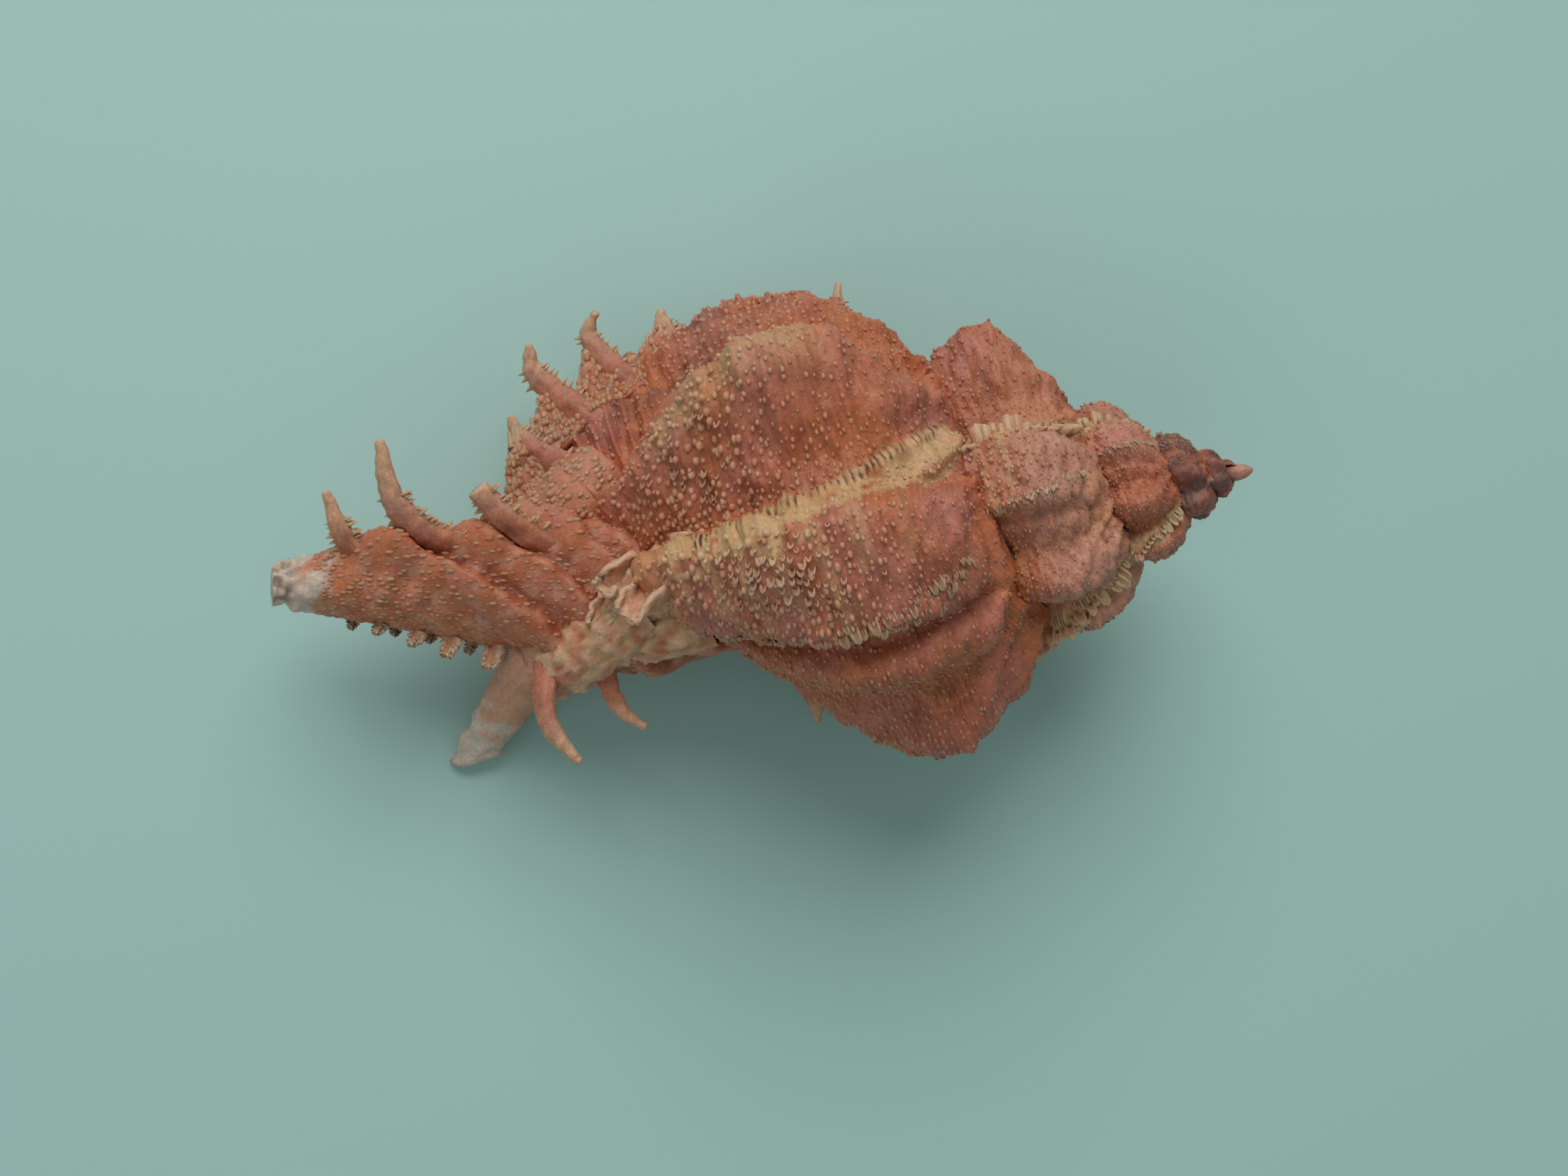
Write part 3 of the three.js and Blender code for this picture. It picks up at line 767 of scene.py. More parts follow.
def canal_height(along, bearing, points):
    """Ribs, fine lines and bumps on the canal."""
    height = np.zeros_like(along)
    for start in RIB_STARTS:
        distance = past_rib(along, bearing, start)
        rib = np.where(distance > 0, np.exp(-((distance / 2.2) ** 2)), np.exp(-((distance / 0.8) ** 2)))
        height += 1.05 * rib * band(bearing, -60, 40, 30)
        height += 1.3 * bell(along, start + 0.5, 1.5) * bell(bearing, 42, 26)
    lines = ridge(bearing / 7 + 0.4 * ripple(points, 5, 21), 1.5)
    height += 0.07 * lines * (0.6 + 0.4 * ripple(points, 1.1, 22))
    height += 0.10 * ripple(points, 1.7, 23)
    return height


def build_canal(material):
    tube = Tube(CANAL, steps=190, sides=130)
    bearing = canal_bearing(tube.spokes)
    along = np.broadcast_to(tube.centres[:, :1], bearing.shape)
    height = canal_height(along, bearing, tube.base)
    off = np.abs((bearing - SLIT_BEARING + 180) % 360 - 180)
    reach = np.linalg.norm(tube.spokes, axis=-1)
    slit = 1 - smoothstep(*SLIT_HALF_WIDTHS, np.radians(off) * reach)
    slit = slit * smoothstep(*SLIT_STARTS, along)
    height = height - slit * reach * SLIT_DEPTH
    tip = smoothstep(56.2, 58.0, along)
    height = height * (1 - 0.5 * tip) + tip * (0.22 * ripple(tube.base, 0.8, 24) - 0.15)
    points = tube.raised(height)
    fine = ripple(points, 2.5, 25)
    # Painted shade: the groove before each rib and the slit are darkened, over random dark patches.
    ribs = np.zeros_like(along)
    for start in RIB_STARTS:
        groove = bell(past_rib(along, bearing, start), -1.2, 1.1)
        ribs = np.maximum(ribs, groove * band(bearing, -75, 30, 25))
    masks = {
        "orange": share_of(0.75 + 0.4 * fine),
        "deep": share_of(1.0 * ribs + 0.15 * fine + 0.6 * slit),
        "pale": 0.3 * smoothstep(0.1, 0.9, ripple(points, 1.3, 26)) * band(bearing, -110, 60, 20),
        "bone": smoothstep(55.6, 57.2, along + 0.7 * ripple(points, 2, 27)),
        "brown": 0.6 * smoothstep(57.0, 58.4, along) * smoothstep(0.1, 0.6, ripple(points, 1.1, 28)),
    }
    wall_of_canal = closed_tube(points, masks)
    add_piece("canal", join([wall_of_canal, canal_grains(), canal_edge(), *canal_frills()]), material)


def canal_spot(share, turn):
    """Place, outward and ahead directions on the canal's surface. Turns are degrees from up, toward front."""
    centre, ahead, across, through, wide, thick = tube_at(CANAL, share)
    turn = np.radians(turn)[:, None]
    spoke = across * wide * np.cos(turn) - through * thick * np.sin(turn)
    outward = unit(spoke)
    bearing = canal_bearing(spoke)
    lift = canal_height(centre[:, 0], bearing, centre + spoke)
    return centre + spoke + outward * lift[:, None], outward, ahead


def canal_grains():
    """Fine raised dashes in lines along the canal."""
    rng = np.random.default_rng(301)
    shares = []
    turns = []
    for turn in np.arange(-60, 215, 6.5):
        row = np.arange(0.30 + rng.uniform(0, 0.02), 0.93, 0.019)
        shares.append(row + rng.normal(0, 0.004, len(row)))
        turns.append(turn + rng.normal(0, 1.1, len(row)))
    share = np.concatenate(shares)
    turn = np.concatenate(turns)
    point, outward, ahead = canal_spot(share, turn)
    vary = rng.uniform(0.5, 1.4, len(share))
    masks = {
        "pale": share_of(0.25 + rng.normal(0, 0.15, len(share))), "orange": np.full(len(share), 0.8),
        "deep": np.full(len(share), 0.0), "bone": smoothstep(55.8, 57.0, point[:, 0]),
    }
    return bead_patch(point, outward, ahead, 0.20 * vary, 0.08 * vary, masks, stretch=2.2)


def canal_edge():
    """A thin scaly fringe along the canal's upper edge."""
    rng = np.random.default_rng(303)
    count = 40
    share = np.linspace(0.42, 0.86, count) + rng.normal(0, 0.004, count)
    point, outward, ahead = canal_spot(share, rng.normal(0, 9, count))
    size = rng.uniform(0.5, 1.2, count)
    masks = flat_masks(count, pale=0.95, cream=0.6, orange=0.8)
    return scale_patch(point, outward, ahead, 0.55 * size, 0.6 * size, 0.3, 0.8, masks, 304)


CANAL_FRILLS = [  # place along the canal, height and half width of the ruffled leaves on its lower edge
    (0.87, 0.5, 0.35), (0.825, 0.8, 0.5), (0.79, 0.4, 0.35), (0.755, 1.1, 0.6), (0.722, 0.5, 0.4),
    (0.69, 1.3, 0.75), (0.645, 0.7, 0.4), (0.61, 1.5, 0.8), (0.565, 0.7, 0.45), (0.53, 1.2, 0.7),
]


def canal_frills():
    leaves = []
    for index, (share, height, half_width) in enumerate(CANAL_FRILLS):
        shares = np.array([share])
        point, outward, ahead = canal_spot(shares, np.array([176.0 + 9 * (-1) ** index]))
        rows = []
        for step, width in ((-0.6, 0.7), (0.1, 1.0), (0.65, 0.8), (1.0, 0.35)):
            place = point[0] + outward[0] * height * step + ahead[0] * 0.35 * height * max(step, 0)
            rows.append([*place, half_width * width])
        leaves.append(frond(rows, 45, 310 + index, ruffle=0.12, steps=16, sides=15, tint=0.95))
    return leaves


def edge_spinelets(rows, count, size, seed, start=0.3, end=0.75):
    """Small scales down both edges of a spine."""
    rng = np.random.default_rng(seed)
    share = np.tile(np.linspace(start, end, count), 2) + rng.normal(0, 0.012, 2 * count)
    side = np.repeat([1.0, -1.0], count)[:, None]
    centre, ahead, across, _, wide, _ = tube_at(spine_rows(rows), share)
    point = centre + across * wide * side * 0.95
    outward = unit(across * side + 0.4 * ahead)
    onward = level(ahead, outward)
    size = size * rng.uniform(0.5, 1.2, 2 * count)
    masks = flat_masks(2 * count, pale=0.9, cream=0.5, orange=0.8)
    return scale_patch(point, outward, onward, 0.5 * size, 0.55 * size, 0.2, 0.6, masks, seed)


ROOT_REACH = 1.6  # how far a root goes back, in steps of the spine's first two rows
ROOT_TAPER = 0.9


def spine_rows(rows):
    """Centre line and half widths of a spine, with a root that reaches into what it stands on."""
    table = np.array(rows, float)
    straight = np.concatenate([polar(table[:, 0], table[:, 1], table[:, 2]), table[:, 3:]], -1)
    root = straight[0].copy()
    root[:3] -= ROOT_REACH * (straight[1, :3] - straight[0, :3])
    root[3:] *= ROOT_TAPER
    return np.concatenate([root[None], straight])


def spine_patch(rows, seed, steps=64, sides=20, tip_pale=0.6, blunt=False):
    """A curved, tapering spine with cross ridges and fine lines along it."""
    tube = Tube(spine_rows(rows), steps, sides)
    share, turn, base = tube.share, tube.turn, tube.base
    reach = np.linalg.norm(tube.spokes, axis=-1)
    wavy = 0.25 * np.cos(turn * 2) + 0.2 * ripple(base, 1.5, seed + 4)
    ridges = ridge(share * 34 + wavy, 1.5) * (1 - share)
    lines = ridge(turn / (2 * np.pi) * 10, 1.2)
    height = reach * (0.03 * ridges + 0.14 * lines - 0.12) + 0.05 * ripple(base, 1.0, seed)
    across = np.abs(np.cos(turn)) + 0 * share
    points = tube.raised(height)
    middle = 0.45 * band(share, 0.2, 0.7, 0.2) * (1 - across**2)
    bleached = tip_pale * smoothstep(0.35, 1.0, share)
    masks = {
        "orange": share_of(0.5 + 0.5 * ripple(points, 3, seed + 1)),
        "deep": share_of(middle + 0.3 * ripple(points, 2, seed + 2)),
        "pale": share_of(bleached + 0.25 * ridges * lines + 0.35 * across**6),
        "purple": 0.2 * smoothstep(0, 0.8, ripple(points, 2.5, seed + 3)),
        "cream": 0.6 * smoothstep(0.6, 1.0, share) + 0 * turn,
    }
    if blunt:
        masks["pale"] = np.maximum(masks["pale"], smoothstep(0.93, 0.97, share))
    return closed_tube(points, masks)


def build_spines(material):
    spines = []
    for i, (name, rows) in enumerate(CANAL_SPINES.items()):
        spines.append(spine_patch(rows, 40 + 5 * i, blunt=name == "stump"))
    spines += [edge_spinelets(rows, 11, 0.8, 60 + i) for i, rows in enumerate(CANAL_SPINES.values())]
    spines += [edge_spinelets(rows, 9, 0.7, 65 + i) for i, rows in enumerate(VARIX_SPINES)]
    spines += [spine_patch(rows, 70 + 5 * i, tip_pale=0.9) for i, rows in enumerate(VARIX_SPINES)]
    spines += [spine_patch(rows, 100 + 5 * i, tip_pale=0.5) for i, rows in enumerate(OLD_SPINES)]
    add_piece("spines", join(spines), material)


# ---- Sheets: the wing of the last varix, frills and lobes ----
def thick_sheet(surface, thickness, masks):
    """A closed sheet round a grid of points. Its columns run from the root to the free edge."""
    normals = grid_normals(surface)
    half = np.broadcast_to(thickness, surface.shape[:-1])[..., None] / 2
    both = np.concatenate([surface + normals * half, (surface - normals * half)[:, ::-1]], 1)
    doubled = {}
    for name, values in masks.items():
        flat = np.broadcast_to(values, surface.shape[:-1])
        doubled[name] = np.concatenate([flat, flat[:, ::-1]], 1)
    rows, columns = both.shape[:2]
    faces = grid_faces(rows, columns, wrap=True)
    ends = []
    for start, flip in ((0, 1), ((rows - 1) * columns, -1)):
        for column in range(columns // 2 - 1):
            corners = [column, column + 1, columns - 2 - column, columns - 1 - column]
            ends.append([start + corner for corner in corners][::flip])
    return Patch(both, np.concatenate([faces, np.array(ends)]), doubled)


WING_EDGE = [  # along, bearing, radius at the root and at the free edge
    [46.4, 64, 3.6, 6.0],
    [45.6, 74, 4.5, 7.4],
    [45.2, 78, 6.0, 10.0],
    [44.3, 82, 7.0, 11.3],
    [43.4, 86, 8.0, 11.8],
    [42.4, 90, 9.0, 14.2],
    [41.0, 93, 10.0, 13.3],
    [39.6, 96, 11.0, 15.9],
    [37.6, 99, 12.0, 15.4],
    [35.2, 104, 13.0, 17.3],
    [32.5, 107, 13.5, 17.0],
    [29.5, 109, 14.0, 17.2],
    [26.5, 111, 13.5, 17.0],
    [24.2, 112, 12.0, 16.6],
    [21.8, 113, 10.5, 14.0],
]
WING_FLUTES = 34


def wing_grid(rows, columns):
    share = np.linspace(0, 1, rows)[:, None]
    out = np.linspace(0, 1, columns)[None, :]
    along, bearing, root, edge = np.moveaxis(blend_rows(WING_EDGE, share[:, 0]), -1, 0)[..., None]
    flutes = ridge(share * WING_FLUTES, 1)
    edge = edge + 0.3 * (flutes - 0.5) + 0.5 * np.sin(share * 61) * np.sin(share * 23) - 0.5
    radius = root + (edge - root) * out
    bearing = bearing - 4.5 * (1 - out) + 0.5 * np.sin(2 * np.pi * share * WING_FLUTES) * out
    return polar(along + 0 * out, bearing, radius), share, out


def build_wing(material):
    """The fluted webbing between the spines of the last varix, with spinelets along its edge."""
    surface, share, out = wing_grid(420, 16)
    surface = surface + grid_normals(surface) * (0.12 * ripple(surface, 1.4, 140))[..., None]
    stains = ridge(share * 8 + 0.3, 1) * (1 - smoothstep(0.4, 0.6, share))
    blotches = smoothstep(-0.3, 0.5, ripple(surface, 2.5, 142))
    masks = {
        "orange": share_of(0.7 + 0.4 * ripple(surface, 3, 141)),
        "pale": 0.75 * smoothstep(0.55, 1.0, out) + 0 * share,
        "cream": 0.5 * smoothstep(0.6, 1.0, out) + 0 * share,
        "purple": 0.6 * stains * (1 - smoothstep(0.4, 0.9, out)) * blotches,
        "deep": share_of(0.35 + 0.4 * ripple(surface, 1.8, 143)) * (1 - out),
    }
    web = thick_sheet(surface, 1.3 - 1.0 * out, masks)
    rng = np.random.default_rng(144)
    count = 46
    at = np.sort(rng.uniform(0.01, 0.99, count))
    rows = surface.shape[0]
    index = (at * (rows - 1)).astype(int)
    edge = surface[index, -1]
    outward = unit(edge - surface[index, -4])
    onward = np.broadcast_to(polar(0, LIP_BEARING + 60, 1), outward.shape)
    onward = level(onward, outward)
    size = rng.uniform(0.4, 1.3, count)
    flat = flat_masks(count, orange=0.7, pale=0.9, cream=0.8)
    spinelets = scale_patch(edge, outward, onward, 0.5 * size, 0.85 * size, -0.25, 0.3, flat, 145)
    add_piece("wing", join([web, spinelets, wing_grains(surface), neck_fill()]), material)


def wing_grains(surface):
    """Small scales on the side of the wing that faces older shell."""
    rng = np.random.default_rng(146)
    count = 1300
    rows, columns = surface.shape[:2]
    row = rng.integers(3, rows - 3, count)
    column = rng.integers(2, columns - 2, count)
    older = polar(0, LIP_BEARING - 90, 1)
    normals = grid_normals(surface)[row, column]
    outward = normals * np.sign(normals @ older)[:, None]
    onward = unit(surface[row, column + 1] - surface[row, column - 1])
    thickness = 1.3 - column / (columns - 1)
    point = surface[row, column] + outward * (thickness / 2)[:, None]
    size = rng.uniform(0.5, 1.4, count)
    masks = grain_masks(rng, count, (0.1, 0.6), (0, 0.4))
    return bead_patch(point, outward, onward, 0.34 * size, 0.2 * size, masks)


NECK_FILL = [  # centre line and half widths of the swelling where the canal turns into the wing
    [47.5, 4.6, 2.6, 1.6, 1.8],
    [45.0, 3.6, 3.8, 2.3, 2.6],
    [42.4, 2.6, 4.9, 2.6, 3.0],
    [40.4, 2.2, 6.2, 2.8, 2.9],
    [38.8, 1.6, 7.4, 2.0, 2.4],
]


def neck_fill():
    steps = 70
    sides = 50
    tube = Tube(NECK_FILL, steps, sides)
    height = 0.08 * tube.flutes(26) + 0.07 * ripple(tube.base, 1.1, 151)
    points = tube.raised(height)
    masks = {
        "orange": share_of(0.7 + 0.4 * ripple(points, 3, 152)), "pale": 0.2 + 0 * height,
        "deep": share_of(0.3 * ripple(points, 2, 153)),
    }
    rng = np.random.default_rng(154)
    count = 620
    row = rng.integers(2, steps - 2, count)
    side = rng.integers(0, sides, count)
    outward = tube.outward[row, side]
    ahead = level(unit(tube.centres[row + 1] - tube.centres[row - 1]), outward)
    size = rng.uniform(0.5, 1.4, count)
    flat = grain_masks(rng, count, (0.2, 0.7), (0, 0.5))
    grains = bead_patch(points[row, side], outward, ahead, 0.3 * size, 0.16 * size, flat)
    return join([closed_tube(points, masks), grains])


def frond(rows, fold, seed, ruffle=0.13, steps=36, sides=19, tint=0.9):
    """A short leaf of shell, folded into a gutter, with a ruffled rim. Rows are centres and half widths."""
    places = blend_rows(rows, np.linspace(0, 1, steps))
    centres = places[:, :3]
    _, across, through = tube_frames(centres)
    turn = np.linspace(-1, 1, sides)[None, :, None]
    side = turn[..., 0]
    wide = places[:, 3][:, None, None]
    share = np.linspace(0, 1, steps)[:, None]
    curl = math.radians(fold)
    arc = across[:, None] * np.sin(turn * curl) + through[:, None] * (np.cos(turn * curl) - 0.5)
    surface = centres[:, None] + arc * wide
    wave = np.sin(share * 34 + 5 * side**2) * np.abs(side) ** 2 + np.sin(side * 9) * share**3
    lift = ruffle * wave * (0.3 + 0.7 * share) + 0.08 * ripple(surface, 1, seed)
    surface = surface + grid_normals(surface) * lift[..., None]
    rim = np.maximum(np.abs(side) ** 3, smoothstep(0.75, 1, share))
    masks = {
        "pale": share_of(tint * (0.35 + 0.65 * rim)), "cream": 0.55 * rim + 0.2, "orange": 0.75 + 0 * rim,
    }
    return thick_sheet(surface, 0.55 - 0.25 * share, masks)


END_FRONDS = [  # where the varix before the last ends above the old canal
    ([[33.6, -1, 8.0, 1.2], [35.4, -3, 9.7, 1.2], [36.6, -6, 10.8, 1.0], [37.4, -9, 11.3, 0.8]], 100),
    ([[35.2, 6, 7.0, 1.2], [36.8, 5, 8.4, 1.1], [38.2, 3, 9.2, 0.9], [39.0, 0, 9.6, 0.7]], 90),
    ([[37.2, 0, 6.2, 1.0], [38.4, -4, 7.2, 1.0], [39.4, -9, 8.0, 0.8], [40.2, -14, 8.4, 0.6]], 90),
]


UNDER_LOBE = [  # fills in under the ledge, between the lobe and the canal
    [33.2, 7.0, -2.9, 1.4, 1.4],
    [35.8, 7.0, -3.0, 1.6, 1.6],
    [38.2, 6.2, -3.4, 1.3, 1.3],
]
ROUGH_LOBES = (END_LOBE, OLD_NECK, UNDER_LOBE)


def rough_lobe(rows, seed):
    """A swollen end or ridge, rough and pale."""
    tube = Tube(rows, steps=60, sides=44)
    lumps = 0.6 * ripple(tube.base, 0.8, seed + 2) + 0.5 * ripple(tube.base, 2.4, seed + 4)
    height = 0.14 * tube.flutes(16, 0.3 * ripple(tube.base, 2, seed + 1)) + 0.2 * lumps
    points = tube.raised(height)
    # The lumps drive the colour: painted highlight on them and painted shade between them, over the lobe's
    # own pale tone.
    masks = {
        "orange": 0.7 + 0 * height, "pale": share_of(0.25 + 0.4 * lumps + 0.2 * tube.share),
        "cream": share_of(0.5 + 0.5 * ripple(points, 1.5, seed + 3)),
        "deep": share_of(-0.4 * lumps),
    }
    return closed_tube(points, masks)


def build_lobes(material):
    leaves = [frond(spine_rows(rows), fold, 150 + i) for i, (rows, fold) in enumerate(END_FRONDS)]
    lobes = [rough_lobe(rows, 160 + 10 * i) for i, rows in enumerate(ROUGH_LOBES)]
    add_piece("end_fronds", join(leaves + lobes), material)


def old_canal_patch():
    """The old canal's tube, thinner and cut at a slant toward its broken end."""
    tube = Tube(OLD_CANAL, steps=60, sides=40)
    share, turn = tube.share, tube.turn
    height = 0.08 * tube.flutes(16) + 0.10 * ripple(tube.base, 1.2, 131)
    height = height - 0.35 * smoothstep(0.5, 1, share) * np.abs(np.sin(turn))
    slant = 0.9 * share**6 * np.cos(turn)
    points = tube.raised(height) + tube.ahead[:, None] * slant[..., None]
    masks = {
        "orange": 0.6, "bone": smoothstep(0.55, 0.8, share + 0.1 * ripple(points, 2, 132)),
        "deep": share_of(0.2 * ripple(points, 2, 133)), "pale": 0.45 + 0 * turn,
    }
    return closed_tube(points, masks)


def apex_patch():
    steps = 30
    sides = 24
    points = Tube(APEX_TIP, steps, sides).base
    masks = {"purple": 0.6, "pale": 0.35 * (1 - smoothstep(0.5, 1.6, points[..., 0]))}
    patch = Patch(points, grid_faces(steps, sides, wrap=True), masks)
    return cap(patch, 0, sides, flip=True)


# ---- The mouth ----
def mouth_ring(angle, turn, narrow=1.0):
    """Points of the mouth's oval at a growth angle."""
    down = MOUTH["half_length"] * narrow * np.cos(turn)
    out = MOUTH["half_width"] * narrow * np.sin(turn)
    slant = MOUTH["slant"]
    along = MOUTH["along"] + down * math.cos(slant) - out * math.sin(slant)
    radius = MOUTH["radius"] + down * math.sin(slant) + out * math.cos(slant)
    size = growth(np.minimum(angle, 0))
    return polar(along * size, LIP_BEARING + angle, radius * size)


def build_mouth(material):
    sides = 160
    turn = np.linspace(0, 2 * np.pi, sides, endpoint=False)
    oval = mouth_ring(LIP_REACH, turn)
    middle = mouth_ring(LIP_REACH, np.array([0, np.pi])).mean(0)
    edge_places = np.linspace(0, 1, 500)
    edge_angles = np.full(len(edge_places), float(LIP_REACH))
    edge_outward = wall_frame(edge_angles, edge_places)[0]
    outer_edge = wall(edge_angles, edge_places) + edge_outward * sculpture(edge_angles, edge_places)[:, None]
    axis_places = np.linspace(0, 1, 200)[:, None]
    neck = polar(WALL[-1][0], LIP_BEARING + LIP_REACH, 0.3)
    suture = polar(WALL[0][0], LIP_BEARING + LIP_REACH, 0.3)
    loop = np.concatenate([outer_edge, neck + (suture - neck) * axis_places])
    radial = polar(0, LIP_BEARING + LIP_REACH, 1)

    def aim(points):
        return np.arctan2((points - middle) @ radial, points[:, 0] - middle[0])

    loop_aim = np.unwrap(aim(loop))
    order = np.argsort(loop_aim)
    target = aim(oval)
    span = loop_aim[order]
    wrapped = (target - span[0]) % (2 * np.pi) + span[0]
    outer = np.stack([np.interp(wrapped, span, loop[order][:, k]) for k in range(3)], -1)
    onward = polar(0, LIP_BEARING + LIP_REACH + 90, 1)
    rows = 26
    share = np.linspace(0, 1, rows)[:, None]
    face = outer[None] + (oval - outer)[None] * share[..., None]
    arch = np.sin(np.pi * share)
    rolled = 0.9 * arch**0.8 + 0.12 * ridge(turn / (2 * np.pi) * 46, 1)[None] * arch
    face = face + onward * rolled[..., None]
    lip = Patch(face, grid_faces(rows, sides, wrap=True), {
        "orange": 0.35, "pale": 0.75 * arch + 0 * turn[None], "cream": 0.5,
    })
    depth = 40
    back = np.linspace(0, 1, depth)
    angles = LIP_REACH - (MOUTH_DEPTH + LIP_REACH) * back
    narrow = 1 - 0.35 * share_of(-angles / MOUTH_DEPTH) ** 2
    hollow = np.stack([mouth_ring(angle, turn, size) for angle, size in zip(angles, narrow)])
    # Painted shade: the throat grows darker toward its back.
    throat = Patch(hollow, grid_faces(depth, sides, wrap=True), {
        "orange": 0.6, "pale": 0.7 * (1 - smoothstep(0, 0.3, back))[:, None] + 0 * turn[None],
        "deep": 0.9 * smoothstep(0.3, 0.8, back)[:, None] + 0 * turn[None],
    })
    cap(throat, (depth - 1) * sides, sides)
    add_piece("mouth", join([lip, throat]), material)


# ---- Scales ----
ARC_POINTS = 5
ARC_HALF = math.radians(108)


def boldness(angle, place):
    """How large and hollow the scales are, from 0 to about 1."""
    varix, big, _ = relief_at(angle, place)
    flank = smoothstep(0.16, 0.42, place)
    bold = 0.18 + 0.24 * varix + 0.18 * big * smoothstep(0.4, 0.55, place)
    bold = bold + 0.55 * bell(angle, -117, 8) * bell(place, 0.50, 0.13)
    bold = bold + 0.45 * bell(angle, -86, 13) * bell(place, 0.58, 0.12)
    return np.clip(bold, 0, 1.1) * flank * (1 - 0.7 * wing_flank(angle, place))


def scale_patch(places, outward, onward, width, height, lean, hollow, masks, seed):
    """Little gutters that stand on the shell, open toward newer shell. Each is a closed bent sheet.

    Lean tips them to the older side and hollow opens them, and both may be one value for all.
    """
    count = len(places)
    hollow = np.broadcast_to(hollow, count)[:, None, None]
    rng = np.random.default_rng(seed)
    twist = rng.normal(0, 0.18, count)
    aside = np.cross(outward, onward)
    ahead = unit(onward * np.cos(twist)[:, None] + aside * np.sin(twist)[:, None])
    aside = np.cross(outward, ahead)
    psi = np.linspace(-ARC_HALF, ARC_HALF, ARC_POINTS)[None, :, None]
    spans = (  # share of the height, share of the radius
        (-0.35, 1.0), (1.0, 1.12), (1.0, 0.72), (0.1, 0.45),
    )
    radius = width[:, None, None] / 2
    rows = []
    for rise, spread in spans:
        lift = rise * (0.55 + 0.45 * np.cos(psi)) if rise > 0.5 else rise
        pinched = spread if rise < 0.5 else 0.45 * spread
        reach = radius * (spread * hollow + (1 - hollow) * pinched)
        middle = places[:, None] + outward[:, None] * height[:, None, None] * lift
        middle = middle - ahead[:, None] * (lean * height)[:, None, None] * np.maximum(lift, 0)
        rows.append(middle + aside[:, None] * reach * np.sin(psi) - ahead[:, None] * reach * np.cos(psi))
    points = np.stack(rows, 1)
    quads = []
    for row in range(3):
        for side in range(ARC_POINTS - 1):
            here = row * ARC_POINTS + side
            quads.append([here, here + 1, here + ARC_POINTS + 1, here + ARC_POINTS])
    ends = ARC_POINTS * 3
    quads.append([0, ARC_POINTS, 2 * ARC_POINTS, ends])
    last = ARC_POINTS - 1
    quads.append([ends + last, 2 * ARC_POINTS + last, ARC_POINTS + last, last])
    stride = 4 * ARC_POINTS
    faces = (np.arange(count)[:, None, None] * stride + np.array(quads)[None]).reshape(-1, 4)
    patch_masks = {name: np.repeat(values, stride) for name, values in masks.items()}
    # Painted highlight along each scale's rim, and painted shade inside the gutter and at its base.
    rim = np.array([0.1, 1.0, 0.85, 0.0]).repeat(ARC_POINTS)[None]
    inside_shade = np.array([0.25, 0.0, 0.0, 1.0]).repeat(ARC_POINTS)[None]
    patch_masks["pale"] = (rim * masks["pale"][:, None]).ravel()
    patch_masks["deep"] = share_of(inside_shade * 0.8 + masks["deep"][:, None] * 0.5).ravel()
    return Patch(points.reshape(-1, 3), faces, patch_masks)


BEAD_SIDES = 6


def bead_patch(places, outward, onward, width, height, masks, stretch=1.45):
    """Low rounded grains, longer toward newer shell, leaning on the older side."""
    aside = np.cross(outward, onward)
    turn = np.linspace(0, 2 * np.pi, BEAD_SIDES, endpoint=False)[None, :, None]
    rows = []
    for rise, spread, shift in ((-0.4, 1.1, 0.0), (0.62, 0.78, 0.1)):
        middle = places + outward * (height * rise)[:, None] - onward * (width * shift)[:, None]
        reach = (width / 2)[:, None, None] * spread
        ring = aside[:, None] * np.sin(turn) + stretch * onward[:, None] * np.cos(turn)
        rows.append(middle[:, None] + reach * ring)
    peak = places + outward * height[:, None] - onward * (width * 0.22)[:, None]
    points = np.concatenate([rows[0], rows[1], peak[:, None]], 1)
    count = len(places)
    stride = 2 * BEAD_SIDES + 1
    quads = []
    for side in range(BEAD_SIDES):
        after = (side + 1) % BEAD_SIDES
        quads.append([side, after, BEAD_SIDES + after, BEAD_SIDES + side])
    for side in range(0, BEAD_SIDES, 2):
        quads.append([2 * BEAD_SIDES] + [BEAD_SIDES + (side + step) % BEAD_SIDES for step in range(3)])
    faces = (np.arange(count)[:, None, None] * stride + np.array(quads)[None]).reshape(-1, 4)
    patch_masks = {name: np.repeat(values, stride) for name, values in masks.items()}
    # Painted highlight on the top of each grain, painted shade round its base.
    lit = np.array([0.0] * BEAD_SIDES + [0.75] * BEAD_SIDES + [1.0])[None]
    patch_masks["pale"] = (lit * masks["pale"][:, None]).ravel()
    patch_masks["deep"] = ((1 - 0.8 * lit) * masks["deep"][:, None]).ravel()
    return Patch(points.reshape(-1, 3), faces, patch_masks)


def pick(masks, chosen):
    return {name: values[chosen] for name, values in masks.items()}


FIRST_SCALED_CORD = 3  # counted from the suture


